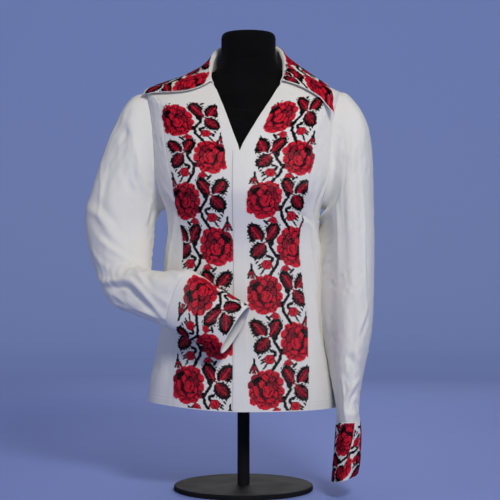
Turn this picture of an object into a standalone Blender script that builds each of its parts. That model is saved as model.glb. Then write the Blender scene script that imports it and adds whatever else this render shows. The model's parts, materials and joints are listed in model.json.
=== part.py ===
"""A vyshyvanka shirt on a limbless dress form.

Metres, +Z up, the front faces -Y, origin under the middle of the base.
Tables are in millimetres.  Every piece of cloth is one closed wall, and
neighbouring pieces stop 0.3 mm short of each other.
"""
import math

import bpy
import numpy as np
from mathutils import Vector
from mathutils.bvhtree import BVHTree

for old in list(bpy.data.objects):
    bpy.data.objects.remove(old, do_unlink=True)

# ---------------------------------------------------------------- dimensions
MM = 0.001
SEAM_GAP = 0.3          # clear air at every seam
PANEL_WALL = 1.5
SLEEVE_WALL = 1.4
CUFF_WALL = 2.2
COLLAR_WALL = 2.0
PLACKET_WALL = 1.8
FACING_WALL = 1.2

UNDERARM = 352.0        # distances up the cloth from the hem
SHOULDER_TIP = 573.0
ARMHOLE_STEPS = 13
ARMHOLE_FRONT = 21.0    # degrees the armhole cuts into the front and the back
ARMHOLE_BACK = 20.0
NECK_ROW = 680.0
V_BOTTOM_STEP = 6       # the armhole row level with the bottom of the V
V_TOP_WIDTH = 57.0      # half width of the V at V_TOP_HEIGHT
V_TOP_HEIGHT = 722.0
NECK_LEAN = 9.0         # the neck stands this far to +X of the hips
RIDGE = 1.7             # how softly the rings roll over the shoulder line
PLACKET_HALF = 11.5
FACING_SHOWS = 4.0
FACING_UNDER = 16.0

BASE_RADIUS = 125.0
BASE_THICK = 9.0
POLE_RADIUS = 11.0
FORM_BOTTOM = 48.0      # the form ends this far up the cloth from the hem
SHARP_ANGLE = 40.0      # degrees; faces that meet at less are shaded as one

# up the cloth, height, half width, front, back, front drop, back rise, roundness
BODY_RINGS = (
    (0, 152, 172, 122, 120, 0, 0, 2.10),
    (33, 185, 168.5, 120, 120, 0, 0, 2.10),
    (54, 206, 163.5, 118, 118, 0, 0, 2.12),
    (87, 239, 156, 114, 117, 0, 0, 2.15),
    (119, 271, 149.5, 111, 114, 0, 0, 2.20),
    (145, 297, 146.5, 108, 108, 0, 0, 2.20),
    (200, 352, 144.5, 103, 97, 0, 0, 2.20),
    (257, 409, 142.5, 101, 90, 0, 0, 2.20),
    (282, 434, 140.5, 103, 89, 0, 0, 2.20),
    (314, 466, 137.0, 111, 91, 0, 0, 2.20),
    (341, 493, 137.5, 121, 94, 0, 0, 2.20),
    (358, 510, 142, 127, 96, 0, 0, 2.20),
    (383, 535, 154, 133, 100, 0, 0, 2.20),
    (405, 557, 161, 131, 103, 0, 0, 2.20),
    (448, 600, 166, 119, 106, 0, 0, 2.20),
    (490, 642, 169, 109, 107, 12, 4, 2.20),
    (530, 682, 172, 100, 103, 32, 10, 2.20),
    (556, 704, 174, 96, 97, 44, 13, 2.20),
    (573, 713, 173, 93, 93, 48, 14, 2.20),
    (584, 718, 163, 91.5, 91, 50, 15, 2.20),
    (598, 724, 147, 89.5, 87, 53, 16, 2.20),
    (620, 733, 122, 87, 81, 59, 17, 2.20),
    (650, 743, 94, 84, 73, 65, 18, 2.18),
    (680, 752, 72, 80, 66, 72, 18, 2.15),
)
# height, half width of the princess seams
PRINCESS = (
    (152, 119.5), (187, 119), (222, 120), (265, 118), (309, 116), (352, 111),
    (395, 106.5), (427, 103), (451, 104), (482, 109.5), (520, 115.5),
    (551, 120), (583, 128), (621, 135), (645, 139), (694, 145), (722, 147),
)
# degrees round from the front, up the cloth, spread in degrees, spread up, mm
BODY_FOLDS = (
    (62, 150, 7, 70, 3.0),
    (80, 205, 6, 60, -2.5),
    (-66, 110, 7, 60, 2.5),
    (-50, 40, 6, 60, -2.0),
    (38, 30, 6, 55, 2.0),
    (118, 120, 9, 110, 3.5),
    (150, 90, 8, 110, -3.0),
    (180, 100, 9, 120, 3.5),
    (-150, 90, 8, 110, -3.0),
    (-118, 120, 9, 110, 3.5),
    (90, 300, 9, 30, -2.0),
    (-90, 300, 9, 30, -2.0),
)
ROWS_BELOW = (0, 16, 50, 98, 145, 200, 257, 308)
ROWS_ABOVE = (579, 584, 589.5, 595, 598, 620, 650, 680)

# how far the form's skin is under the cloth: up the cloth, front and back, sides
FORM_INSET = (
    (48, 9, 14), (145, 7, 9), (257, 6, 7), (341, 6, 6), (383, 5.5, 9),
    (448, 5, 13), (520, 5, 15), (556, 5.5, 11), (573, 6, 7), (584, 6, 6),
    (598, 6, 3.0), (620, 6, 2.3), (650, 6, 2.3), (680, 6.0, 4.8),
)
# height, half width, front, back, front drop, back rise
FORM_NECK = (
    (754, 59, 70, 56, 62, 17),
    (761, 54, 63, 53, 46, 14),
    (772, 50, 56, 50, 28, 10),
    (787, 49, 51, 49, 12, 5),
    (800, 49, 49.5, 49, 3, 2),
    (810, 49, 49, 49, 0, 0),
    (816.5, 47, 47, 47, 0, 0),
    (820, 43, 43, 43, 0, 0),
    (821.2, 37, 37, 37, 0, 0),
)

# outer edge (x, z), inner edge (x, z), middle y, half depth
HANGING_SLEEVE = (
    (186, 710.5, 147, 501, -3, 45),
    (202, 692, 151, 498.5, -3, 50),
    (216, 670, 154, 495, -4, 54),
    (225, 644, 156.5, 490, -4, 58),
    (229.3, 609, 158.5, 483, -6, 59),
    (231.2, 565, 159.5, 471, -9, 59),
    (232.5, 520, 160, 452, -13, 58),
    (233.5, 475, 160, 428, -17, 57),
    (233.8, 430, 160, 400, -22, 56),
    (233.4, 385, 160, 366, -29, 55),
    (232.5, 340, 159.7, 330, -37, 54),
    (229.5, 300, 159.6, 296, -45, 53),
    (224.5, 262, 160, 262, -52, 52),
    (217, 226, 161, 228, -58, 50.5),
    (210.5, 194, 163, 197, -63, 49),
    (206.5, 168, 165.5, 170, -67, 48),
    (206, 149, 167, 147, -69, 47),
    (208, 134, 166.8, 133, -70, 47),
)
HANGING_CUFF = (
    (209.2, 132, 166.7, 130, -70, 46.6),
    (209.6, 110, 165, 110, -70, 46.2),
    (208.8, 84, 162.6, 80, -70.5, 46),
    (207, 58, 160, 52, -71, 45.5),
    (203, 40, 158.3, 26, -72, 45),
)
BENT_SLEEVE = (
    (-186, 712.5, -146, 499.5, -3, 45),
    (-198, 706.7, -149, 497.5, -2, 50),
    (-213, 690.5, -151.5, 495, 0, 54),
    (-227, 665, -153.5, 492, -1, 54),
    (-239.4, 639.7, -155.5, 488.5, -2, 53),
    (-251, 609, -157.5, 484, -4, 52),
    (-262.3, 574.5, -159.5, 478.5, -7, 51),
    (-272, 542, -161.5, 471.5, -10, 50),
    (-280.4, 511, -163, 462, -13, 49),
    (-284, 487, -163.7, 450.5, -17, 48),
    (-281.5, 460.7, -163.5, 438, -22, 47),
    (-276, 433.8, -163, 425.5, -27, 47),
    (-268, 408.7, -162.8, 413, -33, 47),
    (-259, 385.6, -162.8, 402, -40, 46),
    (-250.5, 366.2, -162.5, 393.5, -48, 45),
    (-240, 347, -159, 388.5, -57, 44),
    (-225, 332, -150, 387.5, -67, 42),
    (-203.4, 324, -138, 388.5, -80, 39),
    (-177.4, 315, -122.5, 391, -94, 35),
    (-153, 306.5, -107.5, 394, -106, 31),
    (-134.5, 299.5, -94.5, 396.5, -114, 28),
    (-122.5, 295, -85.5, 397.5, -119, 26),
)
BENT_CUFF = (
    (-121.5, 294.6, -84.5, 397.8, -119.5, 26),
    (-99, 284.5, -60, 383, -127, 25),
    (-75, 274, -34, 366, -136, 24),
    (-51, 263.8, -7, 350, -145, 23),
    (-28.5, 254.5, 18.9, 334.5, -154, 21),
)
# ring, degrees round the sleeve (0 outer edge, 90 front), spreads, mm
HANGING_FOLDS = (
    (8.0, -145, 2.6, 28, 10),
    (11.0, -145, 3.5, 28, 12),
    (3.0, 60, 2.2, 16, -3.0),
    (5.0, 122, 4.0, 14, -4.0),
    (12.5, 70, 2.5, 20, 2.5),
    (14.5, 110, 1.2, 30, -2.5),
)
BENT_FOLDS = (
    (8.5, -155, 2.6, 26, 6),
    (3.5, 55, 2.4, 15, -3.0),
    (9.0, 75, 3.0, 16, 3.5),
    (13.5, 130, 1.5, 40, -3.0),
    (16.0, 115, 1.2, 34, 2.5),
    (17.0, 60, 3.0, 16, -3.5),
    (18.5, 110, 2.6, 18, 3.0),
)

# station, neckline angle, then the fold line, the middle of the fall and the
# outer edge as (x, y, z); the first and last rows are the two long points
COLLAR = (
    (-1.00, -54, -54, -49, 724, -102, -50, 718, -180, -28, 711),
    (-0.86, -66, -58, -32, 744, -103, -28, 732, -173, -8, 719),
    (-0.68, -87, -59, -5, 767, -98, 4, 748, -160, 14, 722),
    (-0.47, -117, -51, 27, 793, -82, 40, 760, -138, 46, 724),
    (-0.30, -140, -37, 50, 804, -66, 72, 765, -108, 74, 724),
    (-0.15, -160, -16, 64, 809, -34, 86, 772, -58, 91, 731),
    (0.00, -180, 8, 69, 810, 8, 91, 775, 8, 97, 735),
    (0.15, -200, 32, 64, 809, 50, 86, 772, 72, 91, 731),
    (0.30, -220, 53, 50, 804, 84, 74, 768, 116, 76, 724),
    (0.47, -243, 67, 27, 793, 98, 44, 765, 142, 46, 725),
    (0.68, -273, 75, -5, 767, 110, -6, 749, 146, -8, 727),
    (0.86, -294, 74, -32, 744, 112, -34, 733, 157, -42, 702),
    (1.00, -306, 70, -49, 725, 114, -56, 712, 163, -70, 668),
)
COLLAR_STATIONS = 36

CLOTH_RGB = (0.83, 0.84, 0.87)
FORM_RGB = (0.012, 0.012, 0.014)
STAND_RGB = (0.02, 0.02, 0.022)


# ------------------------------------------------------------------- helpers
def curve(table, column):
    """A smooth line through one column of a table whose first column rises."""
    xs = np.array([row[0] for row in table], float)
    ys = np.array([row[column] for row in table], float)
    step = np.diff(xs)
    rate = np.diff(ys) / step
    slope = np.zeros(len(xs))
    slope[0], slope[-1] = rate[0], rate[-1]
    for i in range(1, len(xs) - 1):
        if rate[i - 1] * rate[i] > 0:
            before, after = 2 * step[i] + step[i - 1], step[i] + 2 * step[i - 1]
            slope[i] = (before + after) / (before / rate[i - 1] + after / rate[i])

    def at(x):
        x = min(max(x, xs[0]), xs[-1])
        i = min(int(np.searchsorted(xs, x, side="right")) - 1, len(step) - 1)
        t = (x - xs[i]) / step[i]
        return float((2 * t**3 - 3 * t**2 + 1) * ys[i]
                     + (t**3 - 2 * t**2 + t) * step[i] * slope[i]
                     + (3 * t**2 - 2 * t**3) * ys[i + 1]
                     + (t**3 - t**2) * step[i] * slope[i + 1])
    return at


def signed_power(value, power):
    return math.copysign(abs(value) ** power, value)


def ease(value):
    value = min(max(value, 0.0), 1.0)
    return value * value * (3 - 2 * value)


def fold_depth(folds, first, second, turn=False):
    """Sum of soft ridges and hollows; with turn, first is an angle in degrees."""
    total = 0.0
    for a, b, spread_a, spread_b, depth in folds:
        da = first - a
        db = second - b
        if turn:
            da = (da + 180) % 360 - 180
        else:
            db = (db + 180) % 360 - 180
        total += depth * math.exp(-(da / spread_a) ** 2 - (db / spread_b) ** 2)
    return total


def material(name, rgb, roughness):
    mat = bpy.data.materials.new(name)
    mat.use_nodes = True
    shader = mat.node_tree.nodes["Principled BSDF"]
    shader.inputs["Base Color"].default_value = (*rgb, 1.0)
    shader.inputs["Roughness"].default_value = roughness
    return mat


def solid(name, points, faces, rgb, roughness):
    """One node from points in millimetres, its faces turned outwards."""
    coords = [tuple(c * MM for c in p) for p in points]
    volume = 0.0
    for face in faces:
        a = Vector(coords[face[0]])
        for i in range(1, len(face) - 1):
            volume += a.dot(Vector(coords[face[i]]).cross(Vector(coords[face[i + 1]])))
    if volume < 0:
        faces = [tuple(reversed(face)) for face in faces]
    mesh = bpy.data.meshes.new(name)
    mesh.from_pydata(coords, [], faces)
    mesh.shade_smooth()
    mesh.set_sharp_from_angle(angle=math.radians(SHARP_ANGLE))
    mesh.materials.append(material(name + "_skin", rgb, roughness))
    node = bpy.data.objects.new(name, mesh)
    bpy.context.scene.collection.objects.link(node)
    return node


def quads(first, second, third, fourth):
    """A quad cut along its first diagonal."""
    return [(first, second, third), (first, third, fourth)]


def wall(name, outer, inner, rgb=CLOTH_RGB, roughness=0.8, ring=False):
    """A closed wall between two grids of points; ring closes the columns."""
    rows, columns = len(outer), len(outer[0])
    points = [p for row in outer for p in row] + [p for row in inner for p in row]
    count = rows * columns
    faces = []
    last = columns if ring else columns - 1
    for i in range(rows - 1):
        for j in range(last):
            k = (j + 1) % columns
            a, b = i * columns + j, i * columns + k
            c, d = (i + 1) * columns + k, (i + 1) * columns + j
            faces += quads(a, b, c, d)
            faces += quads(count + a, count + d, count + c, count + b)
    for j in range(last):
        k = (j + 1) % columns
        faces += quads(count + j, count + k, k, j)
        top = (rows - 1) * columns
        faces += quads(top + j, top + k, count + top + k, count + top + j)
    if not ring:
        for i in range(rows - 1):
            a, d = i * columns, (i + 1) * columns
            faces += quads(a, d, count + d, count + a)
            b, c = a + columns - 1, d + columns - 1
            faces += quads(b, count + b, count + c, c)
    return solid(name, points, faces, rgb, roughness)


def capped(name, rings, rgb, roughness):
    """A closed skin through rings of points, with a fan at each end."""
    columns = len(rings[0])
    points = [p for ring in rings for p in ring]
    faces = []
    for i in range(len(rings) - 1):
        for j in range(columns):
            k = (j + 1) % columns
            faces += quads(i * columns + j, i * columns + k,
                           (i + 1) * columns + k, (i + 1) * columns + j)
    for i, order in ((0, 1), (len(rings) - 1, -1)):
        middle = sum((Vector(p) for p in rings[i]), Vector()) / columns
        points.append(tuple(middle))
        hub = len(points) - 1
        for j in range(columns):
            k = (j + 1) % columns
            pair = (i * columns + k, i * columns + j)
            faces.append((hub,) + (pair if order > 0 else pair[::-1]))
    return solid(name, points, faces, rgb, roughness)


def grid_normals(grid, ring):
    """Unit normals of a grid of Vectors."""
    rows, columns = len(grid), len(grid[0])
    normals = []
    for i in range(rows):
        line = []
        for j in range(columns):
            if ring:
                left, right = grid[i][(j - 1) % columns], grid[i][(j + 1) % columns]
            else:
                left, right = grid[i][max(j - 1, 0)], grid[i][min(j + 1, columns - 1)]
            down, up = grid[max(i - 1, 0)][j], grid[min(i + 1, rows - 1)][j]
            line.append((right - left).cross(up - down).normalized())
        normals.append(line)
    return normals


# ---------------------------------------------------------------- body shape
HEIGHT, WIDTH, FRONT, BACK, DROP, RISE, ROUND = (curve(BODY_RINGS, k) for k in range(1, 8))
PRINCESS_WIDTH = curve(PRINCESS, 1)


def ring_point(angle, height, width, front, back, drop, rise, roundness):
    """A point of an egg-shaped ring; angle 0 is the middle of the front."""
    c, s = math.cos(angle), math.sin(angle)
    power = 2 / roundness
    x = width * signed_power(s, power)
    if c >= 0:
        y, z = -front * c ** power, height - drop * c ** RIDGE
    else:
        y, z = back * (-c) ** power, height + rise * (-c) ** RIDGE
    lean = NECK_LEAN * ease((z - 590) / 140)
    return Vector((x + lean * ease((135 - abs(x)) / 75), y, z))


def plain_point(angle, up):
    return ring_point(angle, HEIGHT(up), WIDTH(up), FRONT(up), BACK(up),
                      DROP(up), RISE(up), ROUND(up))


def body_point(angle, up, inset=0.0, folds=True):
    """A point of the shirt's body, pushed in along its normal by inset mm."""
    base = plain_point(angle, up)
    turn = plain_point(angle + 0.006, up) - plain_point(angle - 0.006, up)
    rise = plain_point(angle, up + 1.5) - plain_point(angle, up - 1.5)
    normal = turn.cross(rise).normalized()
    depth = -inset
    if folds:
        depth += fold_depth(BODY_FOLDS, math.degrees(angle), up, turn=True)
    return base + normal * depth


def angle_of_width(width_of_height, up):
    """Where a line drawn by its half width crosses the ring at this row."""
    low, high = 0.0, math.pi / 2
    for _ in range(40):
        middle = (low + high) / 2
        c = math.cos(middle)
        z = HEIGHT(up) - DROP(up) * c ** RIDGE
        x = WIDTH(up) * math.sin(middle) ** (2 / ROUND(up))
        if x < width_of_height(z):
            low = middle
        else:
            high = middle
    return (low + high) / 2


def armhole_row(step):
    half = (SHOULDER_TIP - UNDERARM) / 2
    return UNDERARM + half * (1 - math.cos(math.pi * step / ARMHOLE_STEPS))


def armhole_cut(up, degrees):
    """How far the armhole's edge has come round from the side, in radians."""
    if not UNDERARM < up < SHOULDER_TIP:
        return 0.0
    half = (SHOULDER_TIP - UNDERARM) / 2
    away = (up - UNDERARM - half) / half
    return math.radians(degrees) * max(1 - away * away, 0.0) ** 0.45


V_BOTTOM = armhole_row(V_BOTTOM_STEP)


def v_width(z):
    bottom = HEIGHT(V_BOTTOM)
    return V_TOP_WIDTH * (z - bottom) / (V_TOP_HEIGHT - bottom)


def v_angle(up):
    return angle_of_width(v_width, up) if up > V_BOTTOM + 0.5 else 0.0


def princess_angle(up):
    if up <= SHOULDER_TIP:
        return angle_of_width(PRINCESS_WIDTH, up)
    part = (up - SHOULDER_TIP) / (595.0 - SHOULDER_TIP)
    low = angle_of_width(PRINCESS_WIDTH, SHOULDER_TIP)
    return low + (math.radians(88) - low) * part


def arc_angle(angle, up, length):
    """The angle that moves a point along its row by length mm."""
    width = (plain_point(angle + 0.004, up) - plain_point(angle - 0.004, up)).length
    return length * 0.008 / width


ROWS = tuple(float(r) for r in ROWS_BELOW) + tuple(
    armhole_row(k) for k in range(ARMHOLE_STEPS + 1)) + tuple(float(r) for r in ROWS_ABOVE)


def panel_rows(rows, start, end, columns, gap=(True, True)):
    """Parameter rows of a panel between two edges given as functions of up."""
    grid = []
    for up in rows:
        a, b = start(up), end(up)
        a += arc_angle(a, up, SEAM_GAP / 2) * gap[0]
        b -= arc_angle(b, up, SEAM_GAP / 2) * gap[1]
        grid.append([(a + (b - a) * j / columns, up) for j in range(columns + 1)])
    return grid


def panel(name, grid, lift=0.0, thick=PANEL_WALL):
    outer = [[body_point(a, u, -lift) for a, u in row] for row in grid]
    inner = [[body_point(a, u, thick - lift) for a, u in row] for row in grid]
    return wall(name, outer, inner)


def mirrored(grid):
    return [[(-a, u) for a, u in reversed(row)] for row in grid]


# -------------------------------------------------------------- body panels
QUARTER = math.pi / 2


def front_edge(up):
    return princess_angle(up) if up <= 595.0 else QUARTER


def side_edge(up):
    return QUARTER - armhole_cut(up, ARMHOLE_FRONT)


def back_edge(up):
    return QUARTER + armhole_cut(up, ARMHOLE_BACK)


# above the V's bottom the rows of a front climb towards the V
CLIMB = ((573.0, 573.0), (579.0, 588.0), (584.0, 600.0), (589.5, 613.0), (595.0, 627.0),
         (598.0, 642.0), (620.0, 659.0), (650.0, 671.0), (680.0, 680.0))
climb = curve(CLIMB, 1)
FRONT_COLUMNS = 8


def front_row(up):
    """Ends of one row of a front: the V or centre end, then the seam end."""
    inner_up = climb(up) if up > SHOULDER_TIP else up
    return (v_angle(inner_up), inner_up), (front_edge(up), up)


def front_param(up, share):
    (a, low), (b, high) = front_row(up)
    return a + (b - a) * share, low + (high - low) * share


def front_grid():
    grid = []
    for up in ROWS:
        (a, low), (b, high) = front_row(up)
        a += arc_angle(a, low, SEAM_GAP / 2)
        b -= arc_angle(b, high, SEAM_GAP / 2)
        grid.append([(a + (b - a) * j / FRONT_COLUMNS,
                      low + (high - low) * j / FRONT_COLUMNS)
                     for j in range(FRONT_COLUMNS + 1)])
    return grid


front = front_grid()
panel("front_left", front)
panel("front_right", mirrored(front))

side = panel_rows([u for u in ROWS if u <= 595.0], princess_angle, side_edge, 4)
panel("side_front_left", side)
panel("side_front_right", mirrored(side))

back_panel = panel_rows(ROWS, back_edge, lambda up: 2 * math.pi - back_edge(up), 18)
panel("back", back_panel)

# the placket lies on both fronts, from the hem to the bottom of the V
placket_rows = [u for u in ROWS if u < V_BOTTOM + 1]
placket = []
for up in placket_rows:
    reach = angle_of_width(lambda z: PLACKET_HALF, up)
    placket.append([(reach * (j / 2 - 1), up) for j in range(5)])
panel("placket", placket, lift=SEAM_GAP + PLACKET_WALL, thick=PLACKET_WALL)

# the facings lie inside the fronts and show as a narrow rim along the V
facing = []
for up in [V_BOTTOM - 22] + [u for u in ROWS if V_BOTTOM - 1 < u < NECK_ROW]:
    edge, further = plain_point(*front_param(up, 0.0)), plain_point(*front_param(up, 0.1))
    rate = 0.1 / (further - edge).length
    shows = min(FACING_SHOWS, max(v_width(edge.z) - 0.3, 0.0))
    if up < V_BOTTOM:
        shows = -0.3
    facing.append([front_param(up, rate * (-shows + (FACING_UNDER + shows) * j / 3))
                   for j in range(4)])
below = PANEL_WALL + SEAM_GAP
panel("neck_facing_left", facing, lift=-below, thick=FACING_WALL)
panel("neck_facing_right", mirrored(facing), lift=-below, thick=FACING_WALL)


# ------------------------------------------------------------------ sleeves
def hole_ring(side_sign, inset, shrink):
    """The armhole's edge as a ring, from the underarm up the front and back down."""
    steps = ([(k, True) for k in range(ARMHOLE_STEPS + 1)]
             + [(k, False) for k in range(ARMHOLE_STEPS - 1, 0, -1)])
    ring = []
    for k, forward in steps:
        up = armhole_row(k)
        cut = armhole_cut(up, ARMHOLE_FRONT if forward else ARMHOLE_BACK)
        angle = QUARTER - cut if forward else QUARTER + cut
        ring.append(body_point(side_sign * angle, up, inset))
    middle = sum(ring, Vector()) / len(ring)
    flat = []
    for i, p in enumerate(ring):
        along = (ring[(i + 1) % len(ring)] - ring[i - 1]).normalized()
        away = p - middle
        away -= along * away.dot(along)
        away.x = 0.0
        flat.append(p - away.normalized() * shrink)
    return flat


def section(row, before, after, count, roundness=2.15):
    """One ring of a sleeve or cuff from a row of its table."""
    outer, inner = Vector((row[0], row[4], row[1])), Vector((row[2], row[4], row[3]))
    middle, half = (outer + inner) / 2, (outer - inner) / 2
    path = Vector(((after[0] + after[2] - before[0] - before[2]) / 2,
                   after[4] - before[4],
                   (after[1] + after[3] - before[1] - before[3]) / 2))
    depth = path.cross(half).normalized()
    if depth.y > 0:
        depth = -depth
    depth *= row[5]
    ring = []
    for i in range(count):
        angle = math.pi - 2 * math.pi * i / count
        ring.append(middle + half * signed_power(math.cos(angle), 2 / roundness)
                    + depth * signed_power(math.sin(angle), 2 / roundness))
    return ring


def tube_rings(table, count, lead=None, tail=None):
    rings = []
    for i, row in enumerate(table):
        before = table[i - 1] if i else (lead or row)
        after = table[i + 1] if i + 1 < len(table) else (tail or row)
        rings.append(section(row, before, after, count))
    return rings


def in_plane(ring, normals):
    """The normals of an end ring, turned into the ring's own plane."""
    axis = (ring[len(ring) // 2] - ring[0]).cross(ring[len(ring) // 4] - ring[0]).normalized()
    return [(n - axis * n.dot(axis)).normalized() for n in normals]


def sleeve(name, side_sign, table, folds, cuff_table):
    count = 2 * ARMHOLE_STEPS
    rings = [hole_ring(side_sign, PANEL_WALL, SEAM_GAP),
             hole_ring(side_sign, -0.9, SEAM_GAP + 0.1)]
    rings += tube_rings(table, count, tail=cuff_table[0])
    for i, (out, drop, share) in enumerate(((7, 1.5, 0.35), (14, 5, 0.72))):
        away = Vector((side_sign * out, 0, -drop))
        rings[i + 2] = [(h + away).lerp(p, share) for h, p in zip(rings[1], rings[i + 2])]
    normals = grid_normals(rings, True)
    normals[-1] = in_plane(rings[-1], normals[-1])
    if (rings[5][ARMHOLE_STEPS] - rings[5][0]).dot(normals[5][ARMHOLE_STEPS]) < 0:
        normals = [[-n for n in line] for line in normals]
    outer, inner = [], []
    for i, (ring, line) in enumerate(zip(rings, normals)):
        out_row, in_row = [], []
        for j, (p, n) in enumerate(zip(ring, line)):
            degrees = 180 - 360 * j / count
            fade = ease((i - 1) / 3) * ease((len(rings) - 1 - i) / 2)
            q = p + n * fade * fold_depth(folds, i - 2, degrees)
            out_row.append(q)
            in_row.append(q - n * SLEEVE_WALL)
        outer.append(out_row)
        inner.append(in_row)
    wall(name, outer, inner, ring=True)
    return outer


def cuff(name, table, sleeve_table, slit_top, slit_bottom, overlap=24.0):
    """A band rolled round the wrist whose outer end laps over its start."""
    end = section(sleeve_table[-1], sleeve_table[-2], table[0], 72)
    axis = (end[36] - end[0]).cross(end[18] - end[0]).normalized()
    base = tube_rings(table, 72)
    if (base[1][0] - base[0][0]).dot(axis) < 0:
        axis = -axis
    base[0] = [p + axis * SEAM_GAP for p in end]
    normals = grid_normals(base, True)
    normals[0] = in_plane(base[0], normals[0])
    probe = base[2][36] - base[2][0]
    sign = 1 if probe.dot(normals[2][36]) > 0 else -1
    lap = [overlap * k / 4 for k in range(5)]
    steps = (lap + [overlap + (336.0 - overlap) * k / 19 for k in range(1, 19)]
             + [336.0, 342.0, 348.0, 354.0] + [360.0 + k for k in lap])
    outer, inner = [], []
    for i, (ring, line) in enumerate(zip(base, normals)):
        start = slit_top + (slit_bottom - slit_top) * i / (len(base) - 1)
        out_row, in_row = [], []
        for step in steps:
            turn = start + step
            at = ((180 - turn) % 360) / 5.0
            k = int(at) % 72
            part = at - int(at)
            p = ring[k].lerp(ring[(k + 1) % 72], part)
            n = (line[k].lerp(line[(k + 1) % 72], part)).normalized() * sign
            lift = (CUFF_WALL + 0.5) * ease((step - 336.0) / 22.0)
            out_row.append(p + n * lift)
            in_row.append(p + n * (lift - CUFF_WALL))
        outer.append(out_row)
        inner.append(in_row)
    wall(name, outer, inner)
    return outer


left_rings = sleeve("sleeve_left", 1, HANGING_SLEEVE, HANGING_FOLDS, HANGING_CUFF)
right_rings = sleeve("sleeve_right", -1, BENT_SLEEVE, BENT_FOLDS, BENT_CUFF)
cuff("cuff_left", HANGING_CUFF, HANGING_SLEEVE, 40.0, 84.0)
cuff("cuff_right", BENT_CUFF, BENT_SLEEVE, 250.0, 250.0)


# ------------------------------------------------------------------- collar
def cloth_tree():
    """The outside of the body and the sleeve heads, to rest the collar on."""
    points, faces = [], []

    def add(grid, ring):
        first, columns = len(points), len(grid[0])
        points.extend(p for row in grid for p in row)
        for i in range(len(grid) - 1):
            for j in range(columns if ring else columns - 1):
                k = (j + 1) % columns
                faces.append((first + i * columns + j, first + i * columns + k,
                              first + (i + 1) * columns + k, first + (i + 1) * columns + j))
    turns = [math.radians(a) for a in range(-180, 180, 5)]
    add([[body_point(a, u) for a in turns] for u in ROWS if u > 430], True)
    add(left_rings[1:8], True)
    add(right_rings[1:8], True)
    return BVHTree.FromPolygons([tuple(p) for p in points], faces)


def lift_clear(tree, point, clear):
    """Push a point out until it is clear of the cloth under it."""
    centre = Vector((4.0, 0.0, 640.0))
    hit, _, _, distance = tree.find_nearest(point)
    if hit is None or distance > 40:
        return point
    outward = (hit - Vector((centre.x, 0.0, min(hit.z - 30, 690.0)))).normalized()
    inside = (point - hit).dot(outward) < 0
    if inside:
        return hit + outward * clear
    if distance < clear:
        return hit + (point - hit).normalized() * clear if distance > 0.2 else hit + outward * clear
    return point


def collar():
    columns = [curve(COLLAR, k) for k in range(1, 11)]
    tree = cloth_tree()
    end = math.degrees(v_angle(NECK_ROW))
    grid = []
    for i in range(COLLAR_STATIONS + 1):
        t = -1 + 2 * i / COLLAR_STATIONS
        t = math.copysign(1 - (1 - abs(t)) ** 1.4, t)
        values = [c(t) for c in columns]
        turn = values[0]
        turn = min(max(turn, -360 + end + 0.8), -end - 0.8)
        foot = plain_point(math.radians(turn), NECK_ROW)
        fold, middle, edge = Vector(values[1:4]), Vector(values[4:7]), Vector(values[7:10])
        out = Vector((fold.x - 8, fold.y, 0)).normalized()
        along = Vector((middle.x - fold.x, middle.y - fold.y, 0)).normalized()
        out = (out + along * ease((abs(t) - 0.8) / 0.2)).normalized()
        foot = foot + Vector((0, 0, SEAM_GAP + COLLAR_WALL / 2))
        fold.z = max(fold.z, foot.z + 8.0)
        radius = min(4.0, 0.36 * (fold.z - foot.z))
        line = [foot]
        root = fold - out * radius - Vector((0, 0, radius))
        for k in (1, 2):
            line.append(foot.lerp(root, k / 3))
        centre = fold - Vector((0, 0, radius))
        for degrees in (180, 130, 90, 50, 0):
            a = math.radians(degrees)
            line.append(centre + out * radius * math.cos(a) + Vector((0, 0, radius * math.sin(a))))
        start = line[-1]
        first = start - Vector((0, 0, min(6.0, 0.4 * (fold.z - foot.z))))
        for k in range(1, 8):
            s = k / 7
            # a smooth line from the fold through the middle of the fall
            bend = 2 * middle - (first + edge) / 2
            p = first * (1 - s) ** 2 + bend * 2 * s * (1 - s) + edge * s * s
            p = start.lerp(p, ease(s * 3.0)) if s < 0.34 else p
            line.append(lift_clear(tree, p, COLLAR_WALL / 2 + 2.2))
        grid.append(line)
    # the flat facets between the points have to clear the cloth as well
    for _ in range(4):
        for i in range(len(grid)):
            for k in range(8, len(grid[0])):
                for m, n in ((i + 1, k), (i, k + 1), (i + 1, k + 1)):
                    if m < len(grid) and n < len(grid[0]):
                        middle = (grid[i][k] + grid[m][n]) / 2
                        move = lift_clear(tree, middle, COLLAR_WALL / 2 + 1.6) - middle
                        grid[i][k] = grid[i][k] + move
                        grid[m][n] = grid[m][n] + move
    normals = grid_normals(grid, False)
    half = COLLAR_WALL / 2
    outer = [[p + n * half for p, n in zip(r, l)] for r, l in zip(grid, normals)]
    inner = [[p - n * half for p, n in zip(r, l)] for r, l in zip(grid, normals)]
    wall("collar", outer, inner)


collar()


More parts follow.
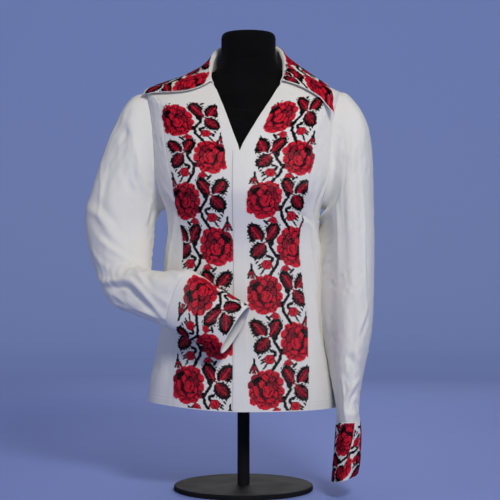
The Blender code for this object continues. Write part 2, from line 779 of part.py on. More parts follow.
# --------------------------------------------------------------------- form
def form():
    front_inset, side_inset = curve(FORM_INSET, 1), curve(FORM_INSET, 2)
    turns = [2 * math.pi * j / 36 for j in range(36)]
    rings = []
    first = [body_point(a, FORM_BOTTOM, FORM_INSET[0][1] + 5, False) for a in turns]
    for shrink, drop in ((0.55, 26), (0.82, 23), (0.93, 18), (0.98, 10)):
        rings.append([Vector((p.x * shrink, p.y * shrink, HEIGHT(FORM_BOTTOM) - drop))
                      for p in first])
    rows = [FORM_BOTTOM, 70, 98, 145, 200, 257, 308, 341, 358, 383, 405, 448, 490,
            530, 556, 573, 584, 598, 620, 635, 650, 665, 680]
    for up in rows:
        ring = []
        for a in turns:
            share = abs(math.sin(a)) ** (3 if up < SHOULDER_TIP else 10)
            inset = front_inset(up) * (1 - share) + side_inset(up) * share
            ring.append(body_point(a, up, inset, False))
        rings.append(ring)
    for row in FORM_NECK:
        rings.append([ring_point(a, *row, 2.0) for a in turns])
    capped("form_torso", rings, FORM_RGB, 0.75)
    return min(p.z for p in rings[0])


def turned(name, profile, steps, rgb, roughness):
    """A turned part from a profile of (radius, height)."""
    rings = []
    for radius, z in profile:
        rings.append([Vector((radius * math.cos(2 * math.pi * j / steps),
                              radius * math.sin(2 * math.pi * j / steps), z))
                      for j in range(steps)])
    capped(name, rings, rgb, roughness)


form_floor = form()
turned("form_base", [(BASE_RADIUS - 1, 0), (BASE_RADIUS, 1), (BASE_RADIUS, BASE_THICK - 2.5),
                     (BASE_RADIUS - 0.8, BASE_THICK - 0.8), (BASE_RADIUS - 2.5, BASE_THICK)],
       48, STAND_RGB, 0.45)
turned("form_pole", [(POLE_RADIUS, BASE_THICK + SEAM_GAP), (POLE_RADIUS, form_floor - SEAM_GAP)],
       24, STAND_RGB, 0.35)
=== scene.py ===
# %% [markdown]
# # An embroidered shirt on a dress form
#
# A vyshyvanka is a plain white shirt whose fronts, collar and cuffs carry bands of roses
# in cross-stitch.  This one hangs on a black dress form with no arms and no head, on a
# short pole.  The solid model that is loaded here fixes every size; the cells below lay
# cloth, thread and finish over it, one sewn piece at a time.

# %% Load the solid model
import json
import math

import bpy
import numpy as np
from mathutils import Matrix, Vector
from mathutils.bvhtree import BVHTree

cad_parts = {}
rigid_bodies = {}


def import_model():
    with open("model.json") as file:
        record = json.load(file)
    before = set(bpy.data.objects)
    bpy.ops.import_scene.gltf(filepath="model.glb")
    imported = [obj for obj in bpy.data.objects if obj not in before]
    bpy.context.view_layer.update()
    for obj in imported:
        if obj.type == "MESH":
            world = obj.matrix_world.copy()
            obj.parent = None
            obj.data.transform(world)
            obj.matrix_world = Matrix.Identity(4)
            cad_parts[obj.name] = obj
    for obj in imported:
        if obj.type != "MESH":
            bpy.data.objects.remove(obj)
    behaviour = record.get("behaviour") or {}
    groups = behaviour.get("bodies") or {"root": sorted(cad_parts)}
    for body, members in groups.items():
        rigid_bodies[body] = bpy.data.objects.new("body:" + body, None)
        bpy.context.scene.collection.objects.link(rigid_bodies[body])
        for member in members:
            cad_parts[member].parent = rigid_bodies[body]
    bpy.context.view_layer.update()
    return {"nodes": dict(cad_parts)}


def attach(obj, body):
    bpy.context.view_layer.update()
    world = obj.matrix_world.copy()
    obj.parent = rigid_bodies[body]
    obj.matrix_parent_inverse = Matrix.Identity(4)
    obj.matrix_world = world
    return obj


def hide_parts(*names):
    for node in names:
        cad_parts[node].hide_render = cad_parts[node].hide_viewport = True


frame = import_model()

MM = 0.001

# %% [markdown]
# ## The camera, the room and the light
#
# Everything is seen from the front, a touch from the right, at the height of the waist.
# A shirt that is white all over is hard to light: a lamp near the lens wipes out its
# creases.  So the key lamp is small and stands well above the lens and to its right, two
# weak broad ones open the shadows at the sides, one rims the shoulders from behind in a
# narrower beam, and one lights the wall.  The floor curves up into that round wall far
# away, so that every view has the same plain blue ground.

# %% Camera, lamps and backdrop
AZIMUTH = math.radians(3)
CAMERA_AWAY = 2.6       # metres
CAMERA_SIDE = 0.0117
CAMERA_HEIGHT = 0.4302
LENS = 104.0            # mm
SENSOR_WIDTH = 36.0
ROOM_COLOUR = (0.85, 0.84, 0.82, 1)
ROOM_STRENGTH = 0.18

camera = bpy.data.objects.new("camera", bpy.data.cameras.new("camera"))
bpy.context.scene.collection.objects.link(camera)
camera.location = (CAMERA_AWAY * math.sin(AZIMUTH) + CAMERA_SIDE * math.cos(AZIMUTH),
                   -CAMERA_AWAY * math.cos(AZIMUTH) + CAMERA_SIDE * math.sin(AZIMUTH),
                   CAMERA_HEIGHT)
camera.rotation_euler = (math.pi / 2, 0, AZIMUTH)
camera.data.lens = LENS
camera.data.sensor_width = SENSOR_WIDTH
bpy.context.scene.camera = camera
bpy.context.scene.view_settings.view_transform = "Standard"

# name, place, target, size, watts, colour, width of the beam in degrees
LAMPS = (
    ("key", (0.8, -2.2, 1.85), (0, 0, 0.40), 0.6, 42, (1.0, 0.975, 0.89), 180),
    ("fill", (2.3, -2.0, 0.8), (0, 0, 0.35), 1.6, 9, (1.0, 0.97, 0.87), 180),
    ("side", (-2.4, -1.6, 0.7), (0, 0, 0.35), 1.4, 8, (1.0, 0.96, 0.84), 180),
    ("rim", (0.2, 2.5, 1.3), (0, 0, 0.50), 1.6, 6, (1.0, 0.97, 0.90), 75),
    ("wall", (0.0, 1.0, 2.5), (0, 4.6, 0.35), 1.6, 17, (1.0, 0.97, 0.90), 180),
)
for name, place, aim, size, watts, colour, beam in LAMPS:
    lamp = bpy.data.objects.new(name, bpy.data.lights.new(name, "AREA"))
    lamp.data.size = size
    lamp.data.energy = watts
    lamp.data.color = colour
    lamp.data.spread = math.radians(beam)
    lamp.location = place
    lamp.rotation_euler = (Vector(aim) - Vector(place)).to_track_quat("-Z", "Y").to_euler()
    bpy.context.scene.collection.objects.link(lamp)

world = bpy.data.worlds.new("soft_room")
world.use_nodes = True
background = world.node_tree.nodes["Background"]
background.inputs["Color"].default_value = ROOM_COLOUR
background.inputs["Strength"].default_value = ROOM_STRENGTH
bpy.context.scene.world = world
print("lamps:", len(LAMPS))

# %% [markdown]
# ## Helpers for curved sheets
#
# Every piece of the shirt is a grid of points: rows up the cloth, columns across it.
# Working on whole arrays keeps this short and quick.  `spline` draws a smooth line
# through a table of measurements without bulging past any of them, and `sheet_mesh`
# gives a grid its thickness and closes its edges, so each piece is real cloth and not a
# paper-thin surface.

# %% Small array helpers
def unit(v):
    return v / np.maximum(np.linalg.norm(v, axis=-1, keepdims=True), 1e-12)


def ease(value):
    value = np.clip(value, 0.0, 1.0)
    return value * value * (3 - 2 * value)


def bell(away, spread):
    """1 where away is nothing, and almost nothing beyond twice the spread."""
    return np.exp(-(away / spread) ** 2)


def half_turn(degrees):
    """The same direction, between -180 and 180 degrees."""
    return (degrees + 180) % 360 - 180


def run(points, axis=0):
    """The distance along each line of points, from its first one."""
    steps = np.linalg.norm(np.diff(points, axis=axis), axis=-1)
    start = np.zeros_like(steps.take([0], axis))
    return np.concatenate([start, np.cumsum(steps, axis)], axis)


def spline(xs, ys):
    """A smooth line through values ys at rising xs, with no overshoot."""
    xs, ys = np.asarray(xs, float), np.asarray(ys, float)
    step = np.diff(xs).reshape((-1,) + (1,) * (ys.ndim - 1))
    rate = np.diff(ys, axis=0) / step
    slope = np.zeros_like(ys)
    slope[0], slope[-1] = rate[0], rate[-1]
    same = rate[:-1] * rate[1:] > 0
    first, second = np.where(same, rate[:-1], 1.0), np.where(same, rate[1:], 1.0)
    before, after = 2 * step[1:] + step[:-1], step[1:] + 2 * step[:-1]
    slope[1:-1] = np.where(same, (before + after) / (before / first + after / second), 0.0)

    def at(x):
        x = np.clip(x, xs[0], xs[-1])
        i = np.clip(np.searchsorted(xs, x, side="right") - 1, 0, len(xs) - 2)
        t = ((x - xs[i]) / (xs[i + 1] - xs[i])).reshape(np.shape(x) + (1,) * (ys.ndim - 1))
        return ((2 * t**3 - 3 * t**2 + 1) * ys[i] + (t**3 - 2 * t**2 + t) * step[i] * slope[i]
                + (3 * t**2 - 2 * t**3) * ys[i + 1] + (t**3 - t**2) * step[i] * slope[i + 1])

    return at


def curve(table, column):
    return spline([row[0] for row in table], [row[column] for row in table])


def grid_normals(grid, ring=False):
    """Unit normals of a grid of points; ring closes the columns."""
    if ring:
        across = np.roll(grid, -1, 1) - np.roll(grid, 1, 1)
    else:
        across = np.gradient(grid, axis=1)
    return unit(np.cross(across, np.gradient(grid, axis=0)))


def tube_normals(grid, row):
    """Normals of a closed tube, pointing outwards as judged at one of its rows."""
    normals = grid_normals(grid, ring=True)
    half_round = grid.shape[1] // 2
    across = grid[row, half_round] - grid[row, 0]
    return -normals if across @ normals[row, half_round] < 0 else normals


print("array helpers ready")


# %% Creases and ripples
def crease(u, v, path, depth, width):
    """A soft ridge, or a trough where depth is negative, along a path of (u, v) in mm.

    It sinks away towards both ends of the path.
    """
    nearest = np.full(np.shape(u), 1e9)
    along = np.zeros(np.shape(u))
    smooth = spline(np.arange(len(path)), np.array(path, float))
    path = smooth(np.linspace(0, len(path) - 1, 3 * len(path) - 2))
    count = len(path) - 1
    for k in range(count):
        (u0, v0), (u1, v1) = path[k], path[k + 1]
        du, dv = u1 - u0, v1 - v0
        t = np.clip(((u - u0) * du + (v - v0) * dv) / (du * du + dv * dv), 0, 1)
        away = np.hypot(u - u0 - t * du, v - v0 - t * dv)
        along = np.where(away < nearest, (k + t) / count, along)
        nearest = np.minimum(nearest, away)
    return depth * bell(nearest, width) * np.sin(np.pi * (0.08 + 0.84 * along))


def ripple(u, v, seed, scale, count=7):
    """A slow uneven wave, mostly between -1 and 1, always the same for one seed."""
    draw = np.random.default_rng(seed)
    total = 0.0
    for _ in range(count):
        a, b, shift = draw.normal(0, 1 / scale), draw.normal(0, 1 / scale), draw.uniform(0, 6.28)
        total = total + np.sin(a * u + b * v + shift)
    return total / math.sqrt(count * 2)


print("crease and ripple ready")


# %% Turn grids into meshes
SHARP_FROM = math.radians(50)   # an edge bent more than this keeps its line


def new_mesh(name, points, faces, material):
    """One object from points in millimetres and a list of faces."""
    mesh = bpy.data.meshes.new(name)
    mesh.from_pydata((np.asarray(points) * MM).tolist(), [], faces)
    mesh.materials.append(material)
    mesh.shade_smooth()
    piece = bpy.data.objects.new(name, mesh)
    bpy.context.scene.collection.objects.link(piece)
    return piece


def grid_faces(rows, columns, ring=False, first=0):
    """The quads of one grid, as an array of corner numbers."""
    i, j = np.meshgrid(np.arange(rows - 1), np.arange(columns if ring else columns - 1),
                       indexing="ij")
    k = (j + 1) % columns
    faces = np.stack([i * columns + j, i * columns + k,
                      (i + 1) * columns + k, (i + 1) * columns + j], -1).reshape(-1, 4)
    return faces + first


def rim_faces(loop, count):
    """Quads that join a loop of outer points to the same loop of inner points."""
    after = np.roll(loop, -1)
    return np.stack([loop, loop + count, after + count, after], -1)


def sheet_mesh(name, outer, inner, material, ring=False):
    """A closed sheet of cloth between an outer and an inner grid."""
    rows, columns = outer.shape[:2]
    count = rows * columns
    faces = [grid_faces(rows, columns, ring), grid_faces(rows, columns, ring, count)[:, ::-1]]
    at = np.arange(count).reshape(rows, columns)
    if ring:
        faces += [rim_faces(at[0], count), rim_faces(at[-1][::-1], count)]
    else:
        loop = np.concatenate([at[0, :-1], at[:-1, -1], at[-1, :0:-1], at[:0:-1, 0]])
        faces.append(rim_faces(loop, count))
    points = np.concatenate([outer.reshape(-1, 3), inner.reshape(-1, 3)])
    faces = np.concatenate(faces)
    corners = points[faces]
    volume = np.einsum("ij,ij->", corners[:, 0], np.cross(corners[:, 1], corners[:, 2]))
    volume += np.einsum("ij,ij->", corners[:, 0], np.cross(corners[:, 2], corners[:, 3]))
    if volume < 0:
        faces = faces[:, ::-1]
    piece = new_mesh(name, points, faces.tolist(), material)
    piece.data.set_sharp_from_angle(angle=SHARP_FROM)
    return piece


def belongs(piece, slot, *nodes):
    """What a piece rides on and the solids it stands for; slot, its finish, is not used."""
    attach(piece, "root")
    if nodes:
        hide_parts(*nodes)
    return piece


print("mesh tools ready")

# %% [markdown]
# ## Finishes
#
# White shirting is a plain weave of fine threads, matt, with a faint sheen where it
# turns away.  Two crossed sets of soft bands make the weave, one following the height and
# one going round the body; a fine noise makes some threads thicker than others, and a
# slow one tints the cloth unevenly.  The embroidery threads have a colour that varies
# along the skein.  The form wears a tight black jersey with fine vertical ribs, and its
# stand has plain black paint with a few dull patches where hands have held it.

# %% Node helpers
def new_material(name, colour, roughness, sheen=0.0, gloss=0.3):
    """A material, with its node tree, its shader and the places on the piece."""
    material = bpy.data.materials.new(name)
    material.use_nodes = True
    tree = material.node_tree
    shader = tree.nodes["Principled BSDF"]
    shader.inputs["Base Color"].default_value = (*colour, 1)
    shader.inputs["Roughness"].default_value = roughness
    shader.inputs["Sheen Weight"].default_value = sheen
    shader.inputs["Sheen Roughness"].default_value = 0.45
    shader.inputs["Specular IOR Level"].default_value = gloss
    place = node(tree, "ShaderNodeTexCoord").outputs["Object"]
    return material, tree, shader, place


def node(tree, kind, **inputs):
    """A node with some of its sockets or settings filled in."""
    made = tree.nodes.new(kind)
    for key, value in inputs.items():
        if key in made.inputs:
            made.inputs[key].default_value = value
        else:
            setattr(made, key, value)
    return made


def noise(tree, place, scale, detail=3.0):
    made = node(tree, "ShaderNodeTexNoise", Scale=scale, Detail=detail, Roughness=0.55)
    tree.links.new(place, made.inputs["Vector"])
    return made.outputs["Fac"]


def tint(tree, shader, factor, first, second, low=0.3, high=0.7):
    """Colour the shader by a ramp from one colour to another, steered by factor."""
    ramp = node(tree, "ShaderNodeValToRGB")
    tree.links.new(factor, ramp.inputs["Fac"])
    ends = ramp.color_ramp.elements
    for end, position, colour in zip(ends, (low, high), (first, second)):
        end.position = position
        end.color = (*colour, 1)
    tree.links.new(ramp.outputs["Color"], shader.inputs["Base Color"])


def maths(tree, operation, first, second):
    made = node(tree, "ShaderNodeMath", operation=operation)
    for socket, value in zip(made.inputs, (first, second)):
        if isinstance(value, (int, float)):
            socket.default_value = value
        else:
            tree.links.new(value, socket)
    return made.outputs[0]


def bump(tree, shader, height, strength, distance):
    made = node(tree, "ShaderNodeBump", Strength=strength, Distance=distance)
    tree.links.new(height, made.inputs["Height"])
    tree.links.new(made.outputs["Normal"], shader.inputs["Normal"])


def threads(tree, place, direction, per_metre):
    """Soft bands across one direction, as threads lie side by side."""
    # at a scale of 1 this texture draws 20 / (2 pi) bands to a metre
    made = node(tree, "ShaderNodeTexWave", wave_type="BANDS", bands_direction=direction,
                wave_profile="SIN", Scale=per_metre / 20.0 * 2 * math.pi, Distortion=0.6)
    made.inputs["Detail"].default_value = 1.0
    made.inputs["Detail Scale"].default_value = 2.0
    tree.links.new(place, made.inputs["Vector"])
    return made.outputs["Fac"]


print("node helpers ready")

# %% The white cotton
COTTON_LIGHT = (0.80, 0.785, 0.745)
COTTON_SHADE = (0.75, 0.737, 0.702)
COTTON_THREADS = 950.0      # to a metre; real ones are finer still

white_cotton, tree, shader, place = new_material("white_cotton", COTTON_LIGHT, 0.88,
                                                 sheen=0.12, gloss=0.2)
tint(tree, shader, noise(tree, place, 9.0), COTTON_SHADE, COTTON_LIGHT)
weft, warp_x, warp_y = (threads(tree, place, direction, COTTON_THREADS)
                        for direction in "ZXY")
weave = maths(tree, "MULTIPLY", weft, maths(tree, "MAXIMUM", warp_x, warp_y))
slubs = noise(tree, place, 420.0, detail=2.0)
height = maths(tree, "ADD", maths(tree, "MULTIPLY", weave, 0.5), slubs)
bump(tree, shader, height, 0.35, 0.0004)
print("finish:", white_cotton.name)


# %% Threads, jersey and paint
RIBS = 450.0                # of the jersey, to a metre


def thread(name, light, dark, roughness=0.55, gloss=0.12):
    material, tree, shader, place = new_material(name, light, roughness, gloss=gloss)
    tint(tree, shader, noise(tree, place, 160.0, detail=2.0), dark, light)
    bump(tree, shader, noise(tree, place, 2600.0, detail=1.0), 0.5, 0.0002)
    return material


thread_finishes = (
    thread("black_thread", (0.007, 0.004, 0.005), (0.003, 0.002, 0.003), 0.7, 0.05),
    thread("red_thread", (0.72, 0.008, 0.036), (0.56, 0.005, 0.026)),
    thread("wine_thread", (0.33, 0.005, 0.024), (0.24, 0.003, 0.017)),
    thread("dark_thread", (0.045, 0.002, 0.007), (0.026, 0.001, 0.005), 0.65, 0.08),
)

jersey, tree, shader, place = new_material("black_jersey", (0.006, 0.006, 0.006), 0.95,
                                           sheen=0.02, gloss=0.08)
tint(tree, shader, noise(tree, place, 30.0), (0.0022, 0.0022, 0.0024),
     (0.0040, 0.0039, 0.0041))
ribs = maths(tree, "ADD", threads(tree, place, "X", RIBS), noise(tree, place, 900.0))
bump(tree, shader, ribs, 0.3, 0.0003)

paint, tree, shader, place = new_material("matt_black_paint", (0.010, 0.010, 0.012), 0.7,
                                          gloss=0.05)
tint(tree, shader, noise(tree, place, 14.0), (0.008, 0.008, 0.010), (0.013, 0.013, 0.015))
dull = node(tree, "ShaderNodeMapRange")
dull.inputs["To Min"].default_value = 0.60
dull.inputs["To Max"].default_value = 0.85
tree.links.new(noise(tree, place, 22.0), dull.inputs["Value"])
tree.links.new(dull.outputs["Result"], shader.inputs["Roughness"])
bump(tree, shader, noise(tree, place, 700.0), 0.08, 0.0002)
print("finishes:", [m.name for m in (*thread_finishes, jersey, paint)])

# %% [markdown]
# ## The room
#
# A blue disc of floor that curves up into a low wall.  It is turned from a profile: flat,
# then a quarter of a circle, then upright.  Its paint carries painted shade: it is darker
# near the middle, where the lamps light the floor most, and fades to a pale blue away from
# it, where they hardly reach, so from the front the floor and the wall meet without an
# edge.  It isn't part of the shirt.

# %% The floor
FLOOR_RADIUS = 3.2      # metres
CURVE_RADIUS = 1.5
WALL_TOP = 3.4
FLOOR_SIDES = 96
PAINTED_SHADE_FROM = 1.0        # distances from the middle over which the painted shade fades out
PAINTED_SHADE_TO = 3.6

profile = [(0.0, 0.0), (FLOOR_RADIUS, 0.0)]
for degrees in range(6, 91, 6):
    turn = math.radians(degrees)
    profile.append((FLOOR_RADIUS + CURVE_RADIUS * math.sin(turn),
                    CURVE_RADIUS * (1 - math.cos(turn))))
profile.append((FLOOR_RADIUS + CURVE_RADIUS, WALL_TOP))
radius, height = np.array(profile).T
turns = np.linspace(0, 2 * np.pi, FLOOR_SIDES, endpoint=False)
bowl = np.stack([radius[:, None] * np.cos(turns), radius[:, None] * np.sin(turns),
                 np.repeat(height[:, None], FLOOR_SIDES, 1)], -1)
plaster, tree, shader, place = new_material("blue_floor", (0.40, 0.52, 0.89), 0.9)
# painted shade: the paint is darker near the middle, where the lamps light the floor most, and
# fades to a pale blue on the far wall that they hardly reach
away = node(tree, "ShaderNodeVectorMath", operation="LENGTH")
tree.links.new(place, away.inputs[0])
painted_shade_ramp = node(tree, "ShaderNodeMapRange", interpolation_type="SMOOTHSTEP")
painted_shade_ramp.inputs["From Min"].default_value = PAINTED_SHADE_FROM
painted_shade_ramp.inputs["From Max"].default_value = PAINTED_SHADE_TO
tree.links.new(away.outputs["Value"], painted_shade_ramp.inputs["Value"])
tint(tree, shader, painted_shade_ramp.outputs["Result"], (0.20, 0.27, 0.64), (0.42, 0.54, 0.93), 0.0, 1.0)
floor = new_mesh("floor", bowl.reshape(-1, 3) / MM,
                 grid_faces(len(profile), FLOOR_SIDES, ring=True).tolist(), plaster)
print("floor radius, metres:", FLOOR_RADIUS)

# %% [markdown]
# ## The shape of the body
#
# The body of the shirt is a stack of egg-shaped rings.  Each ring has a height, a half
# width, a depth in front and behind, and near the shoulders it droops in front, because
# the neckline is lower there.  Two numbers name any place on the cloth: the angle round
# from the middle of the front, and the distance up the cloth from the hem.  Every panel,
# the placket, the facings and the form inside are cut from this one surface, so they fit.

# %% Measurements of the body, in millimetres
SIDES = (("left", 1), ("right", -1))    # the wearer's sides, and their signs along x
SEAM_GAP = 0.3
PANEL_WALL = 1.5        # how thick the solids are
CUFF_WALL = 2.2
COLLAR_WALL = 2.0
PLACKET_WALL = 1.8
FACING_WALL = 1.2
CLOTH = 1.0             # how thick the cloth is drawn
UNDERARM = 352.0        # distances up the cloth from the hem
SHOULDER_TIP = 573.0
ARMHOLE_STEPS = 13
ARMHOLE_FRONT = 21.0    # degrees the armhole cuts into the front and the back
ARMHOLE_BACK = 20.0
HEAD_ROW = 595.0        # the outer edge of the front ends here, this far round
HEAD_TURN = math.radians(88)
NECK_ROW = 680.0        # the seam of the collar
V_BOTTOM_STEP = 6       # the V ends level with this step of the armhole
V_TOP_WIDTH = 57.0      # half the width of the V at its top
V_TOP_HEIGHT = 722.0
NECK_LEAN = 9.0         # the neck leans this far to one side
LEAN_HEIGHTS = (590, 730)       # the lean grows between these heights
LEAN_WIDTHS = (60, 135)         # and fades between these distances from the middle
RIDGE = 1.7             # above 1, the rings droop most near the middle of the front
FORM_BOTTOM = 48.0
HEM_RISE = 8.0          # the hem hangs higher on the side of the bent arm
HEM_RISE_UP = 170       # and is level again this far up the cloth
QUARTER = math.pi / 2

# up the cloth, height, half width, front, back, front drop, back rise, roundness
BODY_RINGS = (
    (0, 152, 172, 122, 120, 0, 0, 2.10),
    (33, 185, 168.5, 120, 120, 0, 0, 2.10),
    (54, 206, 163.5, 118, 118, 0, 0, 2.12),
    (87, 239, 156, 114, 117, 0, 0, 2.15),
    (119, 271, 149.5, 111, 114, 0, 0, 2.20),
    (145, 297, 146.5, 108, 108, 0, 0, 2.20),
    (200, 352, 144.5, 103, 97, 0, 0, 2.20),
    (257, 409, 142.5, 101, 90, 0, 0, 2.20),
    (282, 434, 140.5, 103, 89, 0, 0, 2.20),
    (314, 466, 137.0, 111, 91, 0, 0, 2.20),
    (341, 493, 137.5, 121, 94, 0, 0, 2.20),
    (358, 510, 142, 127, 96, 0, 0, 2.20),
    (383, 535, 154, 133, 100, 0, 0, 2.20),
    (405, 557, 161, 131, 103, 0, 0, 2.20),
    (448, 600, 166, 119, 106, 0, 0, 2.20),
    (490, 642, 169, 109, 107, 12, 4, 2.20),
    (530, 682, 172, 100, 103, 32, 10, 2.20),
    (556, 704, 174, 96, 97, 44, 13, 2.20),
    (573, 713, 173, 93, 93, 48, 14, 2.20),
    (584, 718, 163, 91.5, 91, 50, 15, 2.20),
    (598, 724, 147, 89.5, 87, 53, 16, 2.20),
    (620, 733, 122, 87, 81, 59, 17, 2.20),
    (650, 743, 94, 84, 73, 65, 18, 2.18),
    (680, 752, 72, 80, 66, 72, 18, 2.15),
)
# height, half width of the princess seams
PRINCESS = (
    (152, 119.5), (187, 119), (222, 120), (265, 118), (309, 116), (352, 111),
    (395, 106.5), (427, 103), (451, 104), (482, 109.5), (520, 115.5),
    (551, 120), (583, 128), (621, 135), (645, 139), (694, 145), (722, 147),
)
# degrees round from the front, up the cloth, spread in degrees, spread up, mm
BODY_FOLDS = (
    (62, 150, 7, 70, 3.0),
    (80, 205, 6, 60, -2.5),
    (-66, 110, 7, 60, 2.5),
    (-50, 40, 6, 60, -2.0),
    (38, 30, 6, 55, 2.0),
    (118, 120, 9, 110, 3.5),
    (150, 90, 8, 110, -3.0),
    (180, 100, 9, 120, 3.5),
    (-150, 90, 8, 110, -3.0),
    (-118, 120, 9, 110, 3.5),
    (90, 300, 9, 30, -2.0),
    (-90, 300, 9, 30, -2.0),
)
HEIGHT, WIDTH, FRONT, BACK, DROP, RISE, ROUND = (curve(BODY_RINGS, k) for k in range(1, 8))
PRINCESS_WIDTH = curve(PRINCESS, 1)
print("body, hem to shoulder:", HEIGHT(0.0), "to", HEIGHT(SHOULDER_TIP))


# %% Points on the body
SMALL_TURN = 0.004      # radians, to measure how wide a row is at a place
HALVINGS = 40


def ring_point(angle, height, width, front, back, drop, rise, roundness):
    """Points of an egg-shaped ring; angle 0 is the middle of the front."""
    c, s = np.cos(angle), np.sin(angle)
    power = 2 / roundness
    x = width * np.sign(s) * np.abs(s) ** power
    y = np.where(c >= 0, -front, back) * np.abs(c) ** power
    z = height + np.where(c >= 0, -drop, rise) * np.abs(c) ** RIDGE
    low, high = LEAN_HEIGHTS
    near, far = LEAN_WIDTHS
    lean = NECK_LEAN * ease((z - low) / (high - low)) * ease((far - np.abs(x)) / (far - near))
    return np.stack([x + lean, y, z], -1)


def plain(angle, up):
    return ring_point(angle, HEIGHT(up), WIDTH(up), FRONT(up), BACK(up),
                      DROP(up), RISE(up), ROUND(up))


def plain_normal(angle, up):
    turn = plain(angle + 0.006, up) - plain(angle - 0.006, up)
    return unit(np.cross(turn, plain(angle, up + 1.5) - plain(angle, up - 1.5)))


def body_folds(angle, up):
    total = 0.0
    for middle, height, spread, spread_up, depth in BODY_FOLDS:
        away = half_turn(np.degrees(angle) - middle)
        total = total + depth * np.exp(-(away / spread) ** 2 - ((up - height) / spread_up) ** 2)
    return total


def body(angle, up, lift=0.0, creases=None):
    """Points of the shirt's body, raised by lift mm along the cloth's normal."""
    angle, up = np.broadcast_arrays(np.asarray(angle, float), np.asarray(up, float))
    away = lift + body_folds(angle, up)
    if creases is not None:
        away = away + creases(angle, up)
    points = plain(angle, up) + plain_normal(angle, up) * np.asarray(away)[..., None]
    points[..., 2] += HEM_RISE * ease(-np.sin(angle)) * (1 - ease(up / HEM_RISE_UP))
    return points


print("middle of the front at the waist:", body(0.0, 257.0).round(1))


# %% Edges of the armhole, the V and the princess seams
def angle_of_width(width_of_height, up):
    """Where a line drawn by its half width crosses each row, found by halving."""
    up = np.asarray(up, float)
    low, high = np.zeros(up.shape), np.full(up.shape, QUARTER)
    for _ in range(HALVINGS):
        middle = (low + high) / 2
        z = HEIGHT(up) - DROP(up) * np.cos(middle) ** RIDGE
        x = WIDTH(up) * np.sin(middle) ** (2 / ROUND(up))
        inside = x < width_of_height(z)
        low, high = np.where(inside, middle, low), np.where(inside, high, middle)
    return (low + high) / 2


def armhole_row(step):
    half = (SHOULDER_TIP - UNDERARM) / 2
    return UNDERARM + half * (1 - np.cos(np.pi * np.asarray(step, float) / ARMHOLE_STEPS))


def armhole_cut(up, degrees):
    """How far the armhole's edge has come round from the side, in radians."""
    half = (SHOULDER_TIP - UNDERARM) / 2
    away = (np.asarray(up, float) - UNDERARM - half) / half
    return math.radians(degrees) * np.maximum(1 - away * away, 0.0) ** 0.45


V_BOTTOM = float(armhole_row(V_BOTTOM_STEP))


def v_width(z):
    bottom = HEIGHT(V_BOTTOM)
    return V_TOP_WIDTH * (z - bottom) / (V_TOP_HEIGHT - bottom)


def v_angle(up):
    up = np.asarray(up, float)
    return np.where(up > V_BOTTOM + 0.5, angle_of_width(v_width, up), 0.0)


def princess_angle(up):
    up = np.asarray(up, float)
    low = angle_of_width(PRINCESS_WIDTH, np.minimum(up, SHOULDER_TIP))
    part = np.clip((up - SHOULDER_TIP) / (HEAD_ROW - SHOULDER_TIP), 0, 1)
    return low + (HEAD_TURN - low) * part


def arc_angle(angle, up, length):
    """The angle that moves points along their row by length mm."""
    across = plain(angle + SMALL_TURN, up) - plain(angle - SMALL_TURN, up)
    return length * 2 * SMALL_TURN / np.linalg.norm(across, axis=-1)


print("V bottom, mm up the cloth:", round(V_BOTTOM, 1))

# %% [markdown]
# ## Creases of the body
#
# Shirting that has been pressed and then hung on a form keeps soft folds: slanted
# ones from the bust to the waist, long ones where the skirt hangs free, and small puckers
# along the seams where two curved edges were eased together.  Each crease is a ridge or a
# trough along its own short line, so no two are alike.  Their places are given as the
# angle round the body and the height up the cloth.  Some points, here and in the sleeves'
# tables, are figures that a measuring program printed; the others were set by hand.

# %% Creases of the front and the back
MM_PER_DEGREE = 2.55    # along a row at the waist
CREASE_DEPTH = 1.3      # the whole table is deepened by this much
# depth, width, then points of (degrees round from the front, mm up the cloth)
BODY_CREASES = (
    (-4.5, 5, (68, 410), (68, 372), (71, 348), (80, 312), (84, 268)),
    (2.8, 6, (58, 400), (60, 368), (62, 340), (70, 300), (75, 262)),
    (-3.0, 3.5, (45, 342), (54, 336), (64, 324)),
    (1.8, 4, (47, 332), (55, 326), (63, 315)),
    (-3.0, 7, (-79, 345), (-79, 316), (-78, 290)),
    (-3.2, 5, (-70, 390), (-61, 370), (-55, 342)),
    (2.4, 5, (-62, 396), (-54, 374), (-49, 350)),
    (2.2, 7, (52, 330), (58, 298), (60, 262), (66, 212)),
    (-2.4, 6, (60, 290), (66, 250), (73, 205)),
    (1.8, 6, (66, 330), (72, 285), (78, 240)),
    (-1.5, 6, (47, 330), (50, 290), (51, 250)),
    (1.2, 5, (44, 338), (40, 315), (35, 300)),
    (1.6, 9, (60, 180), (64, 120), (66, 50)),
    (-1.6, 8, (72, 170), (76, 100), (80, 30)),
    (2.0, 7, (-54, 348), (-60, 310), (-65, 262), (-70, 215)),
    (-2.2, 6, (-60, 340), (-67, 295), (-72, 245)),
    (1.3, 6, (-50, 250), (-56, 200), (-60, 150)),
    (-1.4, 8, (-62, 160), (-66, 90), (-70, 25)),
    (1.5, 8, (-78, 170), (-80, 100), (-84, 30)),
    (-1.0, 10, (-44, 470), (-52, 500), (-58, 540)),
    (1.2, 9, (46, 480), (54, 515), (60, 545)),
    (2.2, 10, (130, 470), (140, 420), (146, 350), (143, 290)),
    (-2.0, 9, (120, 450), (128, 395), (131, 330)),
    (1.6, 8, (105, 330), (112, 270), (116, 200)),
    (-2.2, 11, (165, 300), (168, 230), (166, 150), (172, 60)),
    (1.8, 10, (188, 330), (186, 260), (190, 190)),
    (2.0, 10, (-132, 465), (-141, 405), (-147, 345)),
    (-1.8, 9, (-118, 455), (-126, 400), (-128, 335)),
    (-2.0, 10, (-156, 290), (-160, 200), (-155, 110)),
    (1.7, 9, (-108, 320), (-113, 255), (-118, 190)),
    (1.0, 12, (168, 560), (178, 548), (192, 560)),
    (-1.0, 10, (150, 520), (158, 480), (160, 430)),
)


